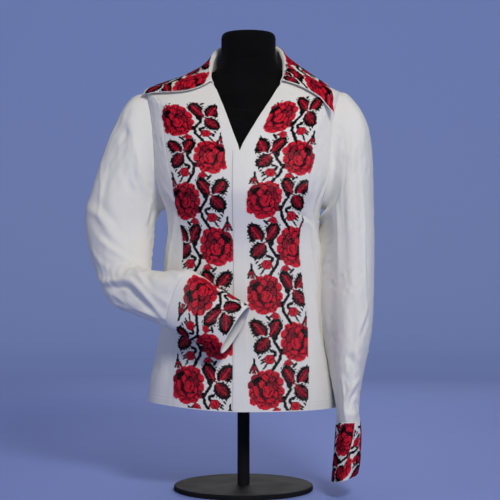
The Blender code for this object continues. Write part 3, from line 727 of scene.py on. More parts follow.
def body_creases(angle, up):
    """Creases, puckers and the gentle unevenness of hung cloth, in mm."""
    degrees = half_turn(np.degrees(angle))
    around = degrees * MM_PER_DEGREE
    total = 0.35 * ripple(around, up * 0.6, 11, 26)
    total = total * ease(up / 60) + 0.25 * ripple(around, up, 12, 60)
    # sharp little ridges at the sides and the back, away from the embroidery
    ridges = 0.45 - np.abs(ripple(around, up * 0.6, 13, 6.5, 9))
    total = total + ridges * ease((np.abs(degrees) - 40) / 15) * ease((up - 25) / 40)
    for depth, width, *path in BODY_CREASES:
        middle = path[len(path) // 2][0]
        away = half_turn(degrees - middle) * MM_PER_DEGREE
        line = [((d - middle) * MM_PER_DEGREE, v) for d, v in path]
        total = total + crease(away, up, line, CREASE_DEPTH * depth, width)
    return total * ease((NECK_ROW + 10 - up) / 60)


def seam_dip(distance, along, seed):
    """Cloth turns in at a seam, and puckers a little on each side of it."""
    pucker = 0.22 * ripple(along, 0 * along, seed, 3.0) * np.exp(-distance / 6.0)
    return pucker - 0.55 * bell(distance, 0.9)


print("creases on the body:", len(BODY_CREASES))

# %% [markdown]
# ## The fronts, the side fronts and the back
#
# Each panel is one grid between two edges: the opening or the V on one side, the
# princess seam on the other, and so on round to the back.  The seams are cut where the
# shirt has them, and the edges turn in by half a millimetre, so each seam shows as a fine
# groove.  The hem is turned up twice, which makes a slightly thicker band with its line
# of stitching.

# %% Rows and edges of the panels
# above the tip of the shoulder the rows of a front slope: the outer end of a row, in mm
# up the cloth, and its inner end
CLIMB = ((573.0, 573.0), (579.0, 588.0), (584.0, 600.0), (589.5, 613.0), (595.0, 627.0),
         (598.0, 642.0), (620.0, 659.0), (650.0, 671.0), (680.0, 680.0))
climb = curve(CLIMB, 1)
HEM = 16.0              # mm up the cloth to the top of the turned-up hem
ROW_STEP = 3.6          # mm between the rows of a panel and of a sleeve
FRONT_COLUMNS = 44
SIDE_COLUMNS = 26
BACK_COLUMNS = 110
# rows lie close together round the edge and the stitching of the hem
panel_ups = np.concatenate([[0, 0.6, 2, 5, 9, 13, 14.6, 15.3, 16.0, 16.6, 17.4],
                            np.arange(20, 560, ROW_STEP), np.arange(560, NECK_ROW, 2.0),
                            [NECK_ROW]])


def side_edge(up):
    return QUARTER - armhole_cut(up, ARMHOLE_FRONT)


def back_edge(up):
    return QUARTER + armhole_cut(up, ARMHOLE_BACK)


def front_ends(up):
    """The V end (angle, up) and the seam end (angle, up) of each row of a front."""
    inner = np.where(up > SHOULDER_TIP, climb(up), up)
    outer = np.where(up <= HEAD_ROW, princess_angle(up), QUARTER)
    return v_angle(inner), inner, outer, up


def hem_lift(up):
    """The turned-up hem stands proud, with a groove at its stitching."""
    return 0.35 * ease((HEM + 1.2 - up) / 1.4) - 0.35 * bell(up - HEM + 1.4, 0.5)


def columns_between(start, end, count):
    """Places across a panel, closer together at both seams."""
    share = np.linspace(0, 1, count)
    edge = 0.5 - 0.5 * np.cos(np.pi * share)
    share = 0.75 * share + 0.25 * edge
    return start[:, None] + (end - start)[:, None] * share


def panel_piece(name, angles, ups, seams, sign=1.0):
    """One panel from its grid of angles and heights; seams says which ends are sewn."""
    from_start = run(plain(angles, ups), 1)
    from_end = from_start[:, -1:] - from_start
    lift = np.zeros(angles.shape)
    for k, distance in enumerate((from_start, from_end)):
        if seams[k]:
            lift += seam_dip(distance, ups, 20 + k)
    lift += hem_lift(ups)
    outer = body(sign * angles, ups, lift, body_creases)
    inner = body(sign * angles, ups, np.minimum(lift, 0) - CLOTH, body_creases)
    return sheet_mesh(name, outer, inner, white_cotton)


def area_of(piece):
    """Half the surface of a thin closed sheet, in square metres."""
    return sum(face.area for face in piece.data.polygons) / 2


print("rows in a panel:", len(panel_ups))

# %% Build the body panels
a_angle, a_up, b_angle, b_up = front_ends(panel_ups)
a_angle = a_angle + arc_angle(a_angle, a_up, SEAM_GAP / 2)
b_angle = b_angle - arc_angle(b_angle, b_up, SEAM_GAP / 2)
front_angles = columns_between(a_angle, b_angle, FRONT_COLUMNS)
front_ups = columns_between(a_up, b_up, FRONT_COLUMNS)
fronts = {}
for side, sign in SIDES:
    fronts[side] = panel_piece("front_" + side + "_cloth", front_angles, front_ups,
                               (False, True), sign)
    belongs(fronts[side], "cotton", "front_" + side)

side_ups = panel_ups[panel_ups <= HEAD_ROW]
low = princess_angle(side_ups)
high = side_edge(side_ups)
low = low + arc_angle(low, side_ups, SEAM_GAP / 2)
high = high - arc_angle(high, side_ups, SEAM_GAP / 2)
side_angles = columns_between(low, high, SIDE_COLUMNS)
side_heights = np.repeat(side_ups[:, None], SIDE_COLUMNS, 1)
side_fronts = {}
for side, sign in SIDES:
    piece = panel_piece("side_front_" + side + "_cloth", side_angles, side_heights,
                        (True, True), sign)
    side_fronts[side] = belongs(piece, "cotton", "side_front_" + side)

low = back_edge(panel_ups)
low = low + arc_angle(low, panel_ups, SEAM_GAP / 2)
back_angles = columns_between(low, 2 * np.pi - low, BACK_COLUMNS)
back_heights = np.repeat(panel_ups[:, None], BACK_COLUMNS, 1)
back = panel_piece("back_cloth", back_angles, back_heights, (True, True))
belongs(back, "cotton", "back")
for piece in (*fronts.values(), *side_fronts.values(), back):
    print(piece.name, "area m2:", round(area_of(piece), 4), "faces:", len(piece.data.polygons))

# %% [markdown]
# ## The placket and the neck facings
#
# The placket is a plain strip down the front, from the point of the V to the hem, that
# hides the fastening.  It is stitched 2 mm inside both of its long edges.  Inside the V
# lie two facings, strips that finish the raw edge; only a narrow rim of each one shows.

# %% Placket and facings
PLACKET_HALF = 11.5     # half its width, mm
PLACKET_STITCH = 2.0    # from its edge to its stitching
FACING_SHOWS = 1.7      # the rim of a facing that shows
FACING_SHARE = 0.3      # near the point of the V, it shows this share of the half width
FACING_UNDER = 16.0     # how far a facing reaches under the front

ups = np.append(panel_ups[panel_ups < V_BOTTOM], V_BOTTOM)
reach = angle_of_width(lambda z: PLACKET_HALF, ups)
placket_share = np.linspace(-1, 1, 45)
angles = reach[:, None] * placket_share
from_edge = PLACKET_HALF * (1 - np.abs(placket_share))
lift = (SEAM_GAP + PLACKET_WALL + 0.15 * ripple(from_edge[None] * 3, ups[:, None], 31, 22)
        - 0.45 * bell(from_edge - PLACKET_STITCH, 0.45) - 0.5 * bell(from_edge, 0.35))
placket = sheet_mesh("placket_cloth", body(angles, ups[:, None], lift),
                     body(angles, ups[:, None], SEAM_GAP), white_cotton)
belongs(placket, "cotton", "placket")

ups = np.concatenate([[V_BOTTOM - 22, V_BOTTOM - 11],
                      np.linspace(V_BOTTOM, NECK_ROW - 12, 80)])
a_angle, a_up, b_angle, b_up = front_ends(ups)


def front_param(share):
    return a_angle + (b_angle - a_angle) * share, a_up + (b_up - a_up) * share


edge, further = plain(*front_param(0.0)), plain(*front_param(0.1))
rate = 0.1 / np.linalg.norm(further - edge, axis=-1)
shows = FACING_SHARE * np.maximum(v_width(edge[:, 2]) - SEAM_GAP, 0.0)
shows = np.where(ups < V_BOTTOM, -SEAM_GAP, np.minimum(FACING_SHOWS, shows))
grid_angle, grid_up = [], []
for share in np.linspace(0, 1, 12):
    angle, up = front_param(rate * (-shows + (FACING_UNDER + shows) * share))
    grid_angle.append(angle)
    grid_up.append(up)
facings = {}
below = PANEL_WALL + SEAM_GAP
for side, sign in SIDES:
    angles, heights = sign * np.array(grid_angle).T, np.array(grid_up).T
    piece = sheet_mesh("neck_facing_" + side + "_cloth", body(angles, heights, -below),
                       body(angles, heights, -below - FACING_WALL), white_cotton)
    facings[side] = belongs(piece, "cotton", "neck_facing_" + side)
print("placket m2:", round(area_of(placket), 4), "facing m2:", round(area_of(facings["left"]), 4))

# %% [markdown]
# ## The sleeves
#
# A set-in sleeve starts at the armhole and is gathered a little over the shoulder, so its
# head stands round.  One arm hangs and the other bends across the front.  Each
# sleeve is a stack of rings along the arm, from the ring of the armhole to the seam of the
# cuff.  The rings are joined by smooth curves, and creases are laid on them in a flat
# chart: millimetres round the sleeve against millimetres along it.

# %% Measurements of the sleeves and cuffs
SLEEVE_COLUMNS = 124
SLEEVE_ROUNDNESS = 2.15
SLEEVE_CREASE_DEPTH = 1.25      # the tables of creases are deepened by this much
# outer edge (x, z), inner edge (x, z), middle y, half depth
HANGING_SLEEVE = (
    (186, 710.5, 147, 501, -3, 45),
    (202, 692, 151, 498.5, -3, 50),
    (216, 670, 154, 495, -4, 54),
    (225, 644, 156.5, 490, -4, 58),
    (229.3, 609, 158.5, 483, -6, 59),
    (231.2, 565, 159.5, 471, -9, 59),
    (232.5, 520, 160, 452, -13, 58),
    (233.5, 475, 160, 428, -17, 57),
    (233.8, 430, 160, 400, -22, 56),
    (233.4, 385, 160, 366, -29, 55),
    (232.5, 340, 159.7, 330, -37, 54),
    (229.5, 300, 159.6, 296, -45, 53),
    (224.5, 262, 160, 262, -52, 52),
    (217, 226, 161, 228, -58, 50.5),
    (210.5, 194, 163, 197, -63, 49),
    (206.5, 168, 165.5, 170, -67, 48),
    (206, 149, 167, 147, -69, 47),
    (208, 134, 166.8, 133, -70, 47),
)
HANGING_CUFF = (
    (209.2, 132, 166.7, 130, -70, 46.6),
    (209.6, 110, 165, 110, -70, 46.2),
    (208.8, 84, 162.6, 80, -70.5, 46),
    (207, 58, 160, 52, -71, 45.5),
    (203, 40, 158.3, 26, -72, 45),
)
BENT_SLEEVE = (
    (-186, 712.5, -146, 499.5, -3, 45),
    (-198, 706.7, -149, 497.5, -2, 50),
    (-213, 690.5, -151.5, 495, 0, 54),
    (-227, 665, -153.5, 492, -1, 54),
    (-239.4, 639.7, -155.5, 488.5, -2, 53),
    (-251, 609, -157.5, 484, -4, 52),
    (-262.3, 574.5, -159.5, 478.5, -7, 51),
    (-272, 542, -161.5, 471.5, -10, 50),
    (-280.4, 511, -163, 462, -13, 49),
    (-284, 487, -163.7, 450.5, -17, 48),
    (-281.5, 460.7, -163.5, 438, -22, 47),
    (-276, 433.8, -163, 425.5, -27, 47),
    (-268, 408.7, -162.8, 413, -33, 47),
    (-259, 385.6, -162.8, 402, -40, 46),
    (-250.5, 366.2, -162.5, 393.5, -48, 45),
    (-240, 347, -159, 388.5, -57, 44),
    (-225, 332, -150, 387.5, -67, 42),
    (-203.4, 324, -138, 388.5, -80, 39),
    (-177.4, 315, -122.5, 391, -94, 35),
    (-153, 306.5, -107.5, 394, -106, 31),
    (-134.5, 299.5, -94.5, 396.5, -114, 28),
    (-122.5, 295, -85.5, 397.5, -119, 26),
)
BENT_CUFF = (
    (-121.5, 294.6, -84.5, 397.8, -119.5, 26),
    (-99, 284.5, -60, 383, -127, 25),
    (-75, 274, -34, 366, -136, 24),
    (-51, 263.8, -7, 350, -145, 23),
    (-28.5, 254.5, 18.9, 334.5, -154, 21),
)
# ring, degrees round the sleeve (0 outer edge, 90 front), spread in rings and in degrees, mm
HANGING_FOLDS = (
    (8.0, -145, 2.6, 28, 10),
    (11.0, -145, 3.5, 28, 12),
    (5.0, -150, 1.8, 26, 16),
    (4.0, -160, 1.5, 24, 8),
    (2.0, 180, 1.9, 26, 18),
    (6.5, -163, 2.6, 26, 12),
    (9.5, -165, 3.0, 26, 14),
    (3.0, 60, 2.2, 16, -3.0),
    (5.0, 122, 4.0, 14, -4.0),
    (12.5, 70, 2.5, 20, 2.5),
    (14.5, 110, 1.2, 30, -2.5),
)
BENT_FOLDS = (
    (8.5, -155, 2.6, 26, 6),
    (3.5, 55, 2.4, 15, -3.0),
    (9.0, 75, 3.0, 16, 3.5),
    (13.5, 130, 1.5, 40, -3.0),
    (16.0, 115, 1.2, 34, 2.5),
    (17.0, 60, 3.0, 16, -3.5),
    (18.5, 110, 2.6, 18, 3.0),
)
print("rings:", len(HANGING_SLEEVE), "and", len(BENT_SLEEVE))


# %% Rings of a sleeve
def hole_ring(sign, lift, shrink, steps):
    """The armhole's edge, from the underarm up the front and down the back."""
    forward = steps <= ARMHOLE_STEPS
    k = np.where(forward, steps, 2 * ARMHOLE_STEPS - steps)
    up = armhole_row(k)
    inside = (up > UNDERARM) & (up < SHOULDER_TIP)
    cut = np.where(forward, armhole_cut(up, ARMHOLE_FRONT), -armhole_cut(up, ARMHOLE_BACK))
    ring = body(sign * (QUARTER - np.where(inside, cut, 0.0)), up, lift)
    middle = ring.mean(axis=0)
    along = unit(np.roll(ring, -1, 0) - np.roll(ring, 1, 0))
    away = ring - middle
    away = away - along * np.sum(away * along, -1, keepdims=True)
    away[:, 0] = 0.0
    return ring - unit(away) * shrink


def section(row, before, after, angles):
    """One ring of a sleeve or cuff from a row of its table."""
    outer, inner = (np.array([row[k], row[4], row[k + 1]], float) for k in (0, 2))
    middle, half = (outer + inner) / 2, (outer - inner) / 2
    path = np.array([(after[0] + after[2] - before[0] - before[2]) / 2, after[4] - before[4],
                     (after[1] + after[3] - before[1] - before[3]) / 2], float)
    depth = unit(np.cross(path, half))
    depth = depth * row[5] * (-1 if depth[1] > 0 else 1)
    c, s = np.cos(angles), np.sin(angles)
    power = 2 / SLEEVE_ROUNDNESS
    return (middle + np.outer(np.sign(c) * np.abs(c) ** power, half)
            + np.outer(np.sign(s) * np.abs(s) ** power, depth))


def tube_rings(table, angles, tail=None):
    """The rings of a whole table; tail is the row that follows its last one."""
    rows = (table[0], *table, tail or table[-1])
    return [section(rows[i], rows[i - 1], rows[i + 1], angles)
            for i in range(1, len(table) + 1)]


def stations_of(rings):
    """The distance along a stack of rings, from middle to middle."""
    steps = np.linalg.norm(np.diff(rings.mean(axis=1), axis=0), axis=-1)
    return np.concatenate([[0.0], np.cumsum(np.maximum(steps, 0.6))])


print("rings and sections ready")

# %% The shape of a sleeve, its folds and its creases
# the head grows out of the armhole over two rings: mm out, mm down, share of the table
SLEEVE_HEAD = ((7, 1.5, 0.35), (14, 5, 0.72))


def sleeve_shape(sign, table, cuff_table):
    """The smooth grid of a sleeve, the places of its rings and those of its rows."""
    steps = np.arange(SLEEVE_COLUMNS) * 2 * ARMHOLE_STEPS / SLEEVE_COLUMNS
    angles = np.pi - 2 * np.pi * np.arange(SLEEVE_COLUMNS) / SLEEVE_COLUMNS
    rings = [hole_ring(sign, -PANEL_WALL, SEAM_GAP, steps),
             hole_ring(sign, 0.9, SEAM_GAP + 0.1, steps)]
    rings += tube_rings(table, angles, tail=cuff_table[0])
    for i, (out, drop, share) in enumerate(SLEEVE_HEAD):
        head = rings[1] + np.array([sign * out, 0, -drop])
        rings[i + 2] = head * (1 - share) + rings[i + 2] * share
    rings = np.array(rings)
    marks = stations_of(rings)
    rows = np.linspace(marks[1], marks[-1], int(marks[-1] / ROW_STEP))[1:]
    along = np.concatenate([[marks[0], marks[1]], rows])
    return spline(marks, rings)(along), marks, along


def sleeve_folds(folds, marks, along, degrees):
    """The large folds, in mm, fading out towards both ends."""
    ring_number = np.interp(along, marks, np.arange(len(marks)))[:, None]
    fade = ease((ring_number - 1) / 3) * ease((len(marks) - 1 - ring_number) / 2)
    depth = 0.0
    for ring, middle, spread, spread_round, mm in folds:
        away = half_turn(degrees - middle)
        depth = depth + mm * np.exp(-((ring_number - 2 - ring) / spread) ** 2
                                    - (away / spread_round) ** 2)
    return depth * fade


def sleeve_creases(creases, girth, marks, along, degrees, seed):
    """Fine creases, little ridges and gathers, in mm."""
    round_mm = degrees / 360 * girth[:, None]
    down = along[:, None] + 0 * degrees
    fine = 0.45 * ripple(round_mm, down, 41 + seed, 30)
    fine = fine + 0.18 * ripple(round_mm, down, 43 + seed, 9)
    # sharp little ridges, in patches, as crisp cotton keeps them
    patches = ease(0.55 + ripple(round_mm, down, 46 + seed, 20))
    ridges = 0.45 - np.abs(ripple(round_mm, 0.6 * down, 45 + seed, 5.0, 9))
    fine = fine + 1.5 * ridges * patches
    for mm, width, *path in creases:
        middle = path[len(path) // 2][0]
        away = half_turn(degrees - middle) * girth[:, None] / 360
        line = [((d - middle) * girth.mean() / 360, v) for d, v in path]
        fine = fine + crease(away, down, line, SLEEVE_CREASE_DEPTH * mm, width)
    # gathers under the shoulder and above the cuff
    to_end = marks[-1] - down
    gathers = ripple(round_mm, 0 * down, 47, 3.2)
    over = ease(np.cos(np.radians(degrees)) + 0.35)
    fine = fine + 0.55 * gathers * over * bell(down, 16)
    fine = fine + 0.8 * gathers * bell(to_end, 15) * ease(to_end / 3)
    return fine * ease((down - marks[1]) / 6) * ease(to_end / 4)


def sleeve(name, sign, table, folds, creases, cuff_table):
    """A sleeve from its armhole to its cuff seam; returns its mesh and its outer grid."""
    grid, marks, along = sleeve_shape(sign, table, cuff_table)
    girth = np.linalg.norm(np.roll(grid, -1, 1) - grid, axis=-1).sum(1)
    degrees = 180 - 360 * np.arange(SLEEVE_COLUMNS)[None] / SLEEVE_COLUMNS
    groove = 0.5 * bell(marks[-1] - along, 1.2)[:, None]
    relief = (sleeve_folds(folds, marks, along, degrees)
              + sleeve_creases(creases, girth, marks, along, degrees, len(name)) - groove)
    normals = tube_normals(grid, len(along) // 3)
    outer = grid + normals * relief[..., None]
    inner = outer - normals * CLOTH
    piece = sheet_mesh(name + "_cloth", outer, inner, white_cotton, ring=True)
    belongs(piece, "cotton", name)
    print(name, "length mm:", round(marks[-1]), "girth mm:", round(girth[len(along) // 3]),
          "faces:", len(piece.data.polygons), "m2:", round(area_of(piece), 4))
    return piece, outer


print("sleeve rows are", ROW_STEP, "mm apart")

# %% [markdown]
# ## Creases of the two sleeves
#
# The hanging sleeve falls almost straight, with long shallow hollows and a few slanted
# folds where it meets the cuff.  The bent one is gathered at the inside of the elbow:
# folds start there and fan out, and the forearm carries ridges along its length.

# %% Build the sleeves
# depth, width, then points of (degrees round, mm along); 0 outer edge, 90 front
HANGING_CREASES = (
    (1.5, 2.4, (50, 50), (52, 166), (55, 213), (55, 256), (51, 315)),
    (-1.2, 5, (62, 80), (64, 170), (66, 260)),
    (-2.4, 9, (84, 31), (104, 110), (107, 198), (107, 300)),
    (2.2, 6, (124, 60), (128, 140), (132, 240)),
    (-1.6, 7, (92, 300), (86, 360), (88, 420)),
    (1.8, 5, (46, 300), (56, 325), (72, 350)),
    (-1.8, 5, (40, 318), (54, 343), (70, 366)),
    (2.0, 5, (88, 380), (72, 390), (54, 402)),
    (-1.6, 5, (100, 392), (78, 404), (60, 416)),
    (2.6, 5, (96, 476), (84, 456), (66, 438), (46, 430)),
    (-2.8, 5, (84, 482), (70, 462), (52, 446)),
    (2.4, 4, (98, 484), (72, 489), (44, 484)),
    (-2.2, 4, (60, 470), (40, 470), (24, 480)),
    (2.2, 4, (48, 448), (33, 466), (28, 490)),
    (1.8, 5, (120, 420), (112, 460), (106, 500)),
    (2.0, 8, (-100, 120), (-96, 220), (-100, 330)),
    (-1.8, 8, (-70, 200), (-76, 300), (-70, 400)),
    (1.6, 7, (-120, 350), (-112, 430), (-96, 510)),
)
BENT_CREASES = (
    (1.9, 2.6, (8, 40), (17, 97), (46, 122), (58, 154), (64, 175)),
    (-1.3, 5, (34, 70), (50, 106), (66, 140)),
    (2.6, 6, (-6, 148), (40, 158), (58, 164), (75, 181), (88, 204)),
    (-2.2, 7, (30, 140), (62, 148), (84, 165), (98, 190)),
    (2.0, 6, (44, 184), (60, 200), (78, 219), (105, 248), (124, 280)),
    (-1.8, 6, (60, 190), (84, 210), (110, 238)),
    (1.6, 5, (30, 215), (48, 240), (66, 262)),
    (4.4, 4.5, (28, 256), (48, 270), (75, 288), (92, 314), (88, 338), (76, 366), (56, 394)),
    (-3.6, 5.5, (34, 274), (58, 294), (76, 318), (70, 344), (56, 370)),
    (2.6, 4.5, (112, 300), (104, 326), (92, 360), (82, 392), (76, 420)),
    (-2.6, 5, (116, 322), (100, 350), (86, 384)),
    (2.2, 4, (30, 344), (40, 362), (38, 384)),
    (-2.0, 4, (18, 330), (28, 352), (26, 376)),
    (1.8, 5, (8, 290), (20, 320), (24, 350)),
    (2.8, 5, (142, 140), (140, 110), (134, 75), (134, 20)),
    (-3.4, 7, (158, 150), (154, 105), (150, 60), (150, 15)),
    (-2.2, 8, (24, 66), (36, 54), (56, 44), (84, 24)),
    (-1.8, 4, (28, 36), (42, 28)),
    (1.8, 5, (78, 16), (92, 40), (100, 80)),
    (-1.6, 8, (100, 90), (104, 160), (110, 230)),
    (2.0, 6, (172, 335), (150, 372), (128, 412)),
    (2.2, 8, (-150, 250), (-130, 285), (-100, 320)),
    (-2.4, 8, (-155, 290), (-135, 325), (-105, 360)),
    (1.8, 8, (-80, 100), (-84, 180), (-78, 260)),
)
right_sleeve, right_grid = sleeve("sleeve_right", -1, BENT_SLEEVE, BENT_FOLDS, BENT_CREASES,
                                  BENT_CUFF)
left_sleeve, left_grid = sleeve("sleeve_left", 1, HANGING_SLEEVE, HANGING_FOLDS,
                                HANGING_CREASES, HANGING_CUFF)

# %% [markdown]
# ## The chart of the embroidery
#
# Counted cross-stitch is drawn on squared paper: one square, one stitch.  The band is a
# running spray: a rose on one side, a twig with three leaves and a bud on the other, and
# then the same again turned over, so roses and leaves change sides all the way up.  Each
# motif is painted on the squares by a small rule of its own (a petal is a disc with a
# dark rim, a leaf is a lens with a toothed black rim), so one spray of half a repeat is
# drawn, then flipped and moved up to make the other half.

# %% Squared paper
STITCH = 1.78           # mm, the side of one square
REPEAT = 92             # squares up the band before it starts again
REACH = 36              # squares from the middle of the band to its edge
ROSE_COLUMN = -15.5     # the middle of the rose, from the middle of the band
BUD_RIM = 0.7           # squares
BLACK, RED, WINE, DARK = 1, 2, 3, 4
square_c, square_r = np.meshgrid(np.arange(-REACH, REACH + 1), np.arange(REPEAT))


def from_point(c0, r0, turn=0.0):
    """Distances from a point, along and across a direction, wrapping up the band."""
    dc = square_c - c0
    dr = (square_r - r0 + REPEAT / 2) % REPEAT - REPEAT / 2
    c, s = math.cos(math.radians(turn)), math.sin(math.radians(turn))
    return dc * c + dr * s, dr * c - dc * s


def in_oval(u, v, rx, ry):
    return (u / rx) ** 2 + (v / ry) ** 2 <= 1


def oval(chart, c0, r0, rx, ry, code, turn=0.0, rim=None):
    u, v = from_point(c0, r0, turn)
    if rim:
        chart[in_oval(u, v, rx + BUD_RIM, ry + BUD_RIM)] = rim
    chart[in_oval(u, v, rx, ry)] = code


def stroke(chart, points, width, code=BLACK):
    """A line of stitches through a few points."""
    for (c0, r0), (c1, r1) in zip(points, points[1:]):
        length = math.hypot(c1 - c0, r1 - r0)
        u, v = from_point(c0, r0, math.degrees(math.atan2(r1 - r0, c1 - c0)))
        along = np.clip(u, 0, length)
        chart[np.hypot(u - along, v) <= width / 2] = code


print("squares in a repeat:", square_c.size)


# %% Leaves, petals and the rose
def leaf(chart, c0, r0, turn, length, width):
    """A lens with a toothed black rim, a veined middle and a bare line round it."""
    u, v = from_point(c0, r0, turn)
    share = np.clip(u / length + 0.5, 0, 1)
    half = width / 2 * np.sin(np.pi * share ** 0.9) ** 0.5
    on = np.abs(u) < length / 2
    teeth = 1.6 * ((np.floor(u + 90) % 3 == 0) & (share > 0.12))
    tip = (u > 0) & (np.hypot(u, v) < length / 2 + 1.2) & (np.floor(v + 90.5) % 3 == 0)
    chart[on & (np.abs(v) <= half + 1.9)] = 0
    chart[on & (np.abs(v) <= half - 0.4 + teeth) | tip & (np.abs(v) < width * 0.3)] = BLACK
    share = np.clip((u + 0.44 * length) / (0.78 * length), 0, 1)
    core = 0.58 * width / 2 * np.sin(np.pi * share) ** 0.6
    middle = (np.abs(v) <= core) & (u > -0.44 * length) & (u < 0.34 * length)
    vein = (u - 0.9 * np.abs(v) + 90) % 3.4
    chart[middle] = DARK
    chart[middle & (vein < 1.7)] = WINE
    chart[middle & (np.abs(v) < 0.6)] = RED


def petal(chart, c0, r0, spot):
    """One petal: red or wine, darker towards the heart, and outlined over its neighbours."""
    c, r, rx, ry, turn, code = spot
    u, v = from_point(c0 + c, r0 + r, turn)
    chart[in_oval(u, v, rx + 1.0, ry + 1.0) & (chart > 0)] = DARK
    inside = in_oval(u, v, rx, ry)
    chart[inside] = code
    a, b = from_point(c0, r0)
    near = np.hypot(a, b) < math.hypot(c, r) - 0.35 * min(rx, ry)
    chart[inside & near & ((a + 2 * b).astype(int) % 3 > 0)] = WINE


def rose(chart, c0, r0):
    """A full rose: back petals, a dark ground, then the petals round the heart."""
    oval(chart, c0, r0, 19.6, 20.4, 0)
    oval(chart, c0 - 0.5, r0, 14.2, 14.6, WINE)
    for spot in BACK_PETALS:
        petal(chart, c0, r0, spot)
    oval(chart, c0 - 0.5, r0, 11.2, 11.6, DARK)
    for spot in HEART_PETALS:
        petal(chart, c0, r0, spot)
    oval(chart, c0 - 8.7, r0 + 9.0, 5.6, 2.7, BLACK, 35)
    oval(chart, c0 - 10.5, r0 + 6.0, 2.6, 1.6, BLACK, 60)
    oval(chart, c0 + 2.2, r0 + 7.6, 1.6, 1.4, BLACK)
    for points in FOLDS_OF_ROSE:
        stroke(chart, [(c0 + c, r0 + r) for c, r in points], 1.1, DARK)


# petals: across and up from the middle, half sizes, turn in degrees, thread
BACK_PETALS = (
    (2.4, 16.0, 4.6, 3.2, 0, RED), (-5.0, 14.8, 4.4, 3.2, 15, RED),
    (9.2, 13.6, 4.0, 3.6, -40, RED), (13.4, 7.2, 3.9, 4.0, 0, RED),
    (-11.6, 11.4, 4.2, 3.2, 40, WINE), (-15.0, 4.4, 3.2, 4.0, 0, WINE),
    (-15.2, -3.4, 3.2, 4.6, 0, RED), (13.6, -1.4, 3.8, 5.0, 0, RED),
    (12.2, -9.0, 3.8, 3.8, 0, WINE), (-12.4, -10.8, 5.0, 4.2, 20, RED),
    (6.8, -13.2, 5.0, 4.2, 20, RED), (-3.0, -15.4, 7.0, 4.0, -5, RED),
)
HEART_PETALS = (
    (-10.4, -1.2, 2.6, 6.0, 8, RED), (-1.8, 11.0, 3.6, 3.4, 0, RED),
    (5.4, 9.4, 3.0, 3.2, -30, WINE), (8.6, 2.8, 2.4, 4.2, 0, WINE),
    (-4.4, 5.2, 3.0, 4.4, 20, RED), (3.0, 4.0, 2.6, 2.2, 0, WINE),
    (7.8, -4.6, 2.4, 3.6, 0, RED), (-6.6, -9.4, 3.6, 2.0, -30, RED),
    (3.0, -10.2, 4.4, 2.0, 10, RED), (0.8, -1.8, 5.2, 5.8, -15, RED),
)
# dark lines over the petals, where one curls over the next
FOLDS_OF_ROSE = (
    ((-7.5, 1), (-7, -5), (-2, -8.6), (7, -7)),
    ((2.4, 2.6), (3.4, -1.0), (1.6, -4.8)),
    ((-2.6, 0.6), (-3.0, -2.6)),
    ((-13.6, -8.4), (-10.6, -12.4)),
    ((-6.6, -16.0), (-1.6, -13.8), (2.6, -15.6)),
    ((6.4, -12.6), (9.6, -14.6)),
    ((12.0, 0.8), (14.6, -2.4)),
    ((10.2, 12.4), (11.6, 15.0)),
    ((0.8, 14.6), (1.6, 17.4)),
    ((-6.2, 13.6), (-7.0, 16.4)),
    ((-14.0, -2.0), (-16.6, -4.6)),
)
print("petals:", len(BACK_PETALS) + len(HEART_PETALS))


# %% One spray, and the same turned over
# middle (c, r), the way the tip points in degrees, length, width
LEAVES = (
    (7.0, 14.0, 124, 19.5, 15.0),
    (23.0, 12.6, 52, 20.5, 15.5),
    (19.6, -3.6, -46, 18.5, 15.5),
)
TWIGS = (
    ((8.8, 4.6), (8.4, 1.0), (2.2, -8.6), (1.2, -11.6), (2.4, -16.8), (10.4, -28.4)),
    ((8.4, 1.5), (5.4, 4.6)),
    ((1.4, -11.4), (0.2, -8.2)),
    ((10.6, -9.2), (7.6, -9.6), (6.6, -12.0), (8.4, -13.6)),
)
CURLS = (
    ((17.0, -15.2), (19.0, -17.4), (21.0, -17.8)),
    ((20.6, -13.4), (22.6, -15.4)),
    ((7.4, -18.6), (6.0, -20.4)),
    ((14.8, -20.6), (16.6, -23.6), (18.4, -26.0)),
    ((17.6, -18.8), (20.4, -21.0)),
    ((-14.8, -21.4), (-12.6, -22.6), (-10.6, -21.6)),
    ((-13.4, -23.4), (-11.0, -24.0)),
)
WINE_STALK = ((10.4, 5.4), (14.2, 4.4), (15.8, 2.4))
# middle (c, r), half sizes, turn in degrees, then the dark lines over it
BUDS = (
    ((12.4, -17.0, 4.4, 4.0, 10), ((9.0, -16.0), (12.0, -18.0), (13.0, -20.2)),
     ((13.4, -14.2), (14.4, -17.4))),
    ((-6.0, -20.9, 3.6, 2.5, -15), ((-8.0, -20.4), (-5.2, -21.8))),
)
# a small hanging flower: its stalk, the point where its petals start, their tips, and
# the two ovals of wine thread on it
FLOWER_STALK = (27.6, -18.6, 0.9, 3.0)
FLOWER_TOP = (27.6, -21.0)
FLOWER_TIPS = ((23.4, -29.4), (27.4, -29.4), (31.4, -29.4))
FLOWER_OVALS = ((27.6, -25.4, 3.0, 2.2), (27.4, -29.4, 2.4, 1.2))


def spray():
    """Half a repeat: curls and leaves first, and whatever lies over them later."""
    chart = np.zeros(square_c.shape, int)
    for points in CURLS:
        stroke(chart, points, 1.5)
    for spot in LEAVES:
        leaf(chart, *spot)
    rose(chart, ROSE_COLUMN, 0.0)
    for points in TWIGS:
        stroke(chart, points, 2.9)
    stroke(chart, WINE_STALK, 1.2, WINE)
    for (c, r, rx, ry, turn), *lines in BUDS:
        oval(chart, c, r, rx, ry, RED, turn, rim=WINE)
        for points in lines:
            stroke(chart, points, 0.9, DARK)
    oval(chart, *FLOWER_STALK, BLACK)
    for tip in FLOWER_TIPS:
        stroke(chart, (FLOWER_TOP, tip), 2.2)
    for spot in FLOWER_OVALS:
        oval(chart, *spot, WINE)
    return chart


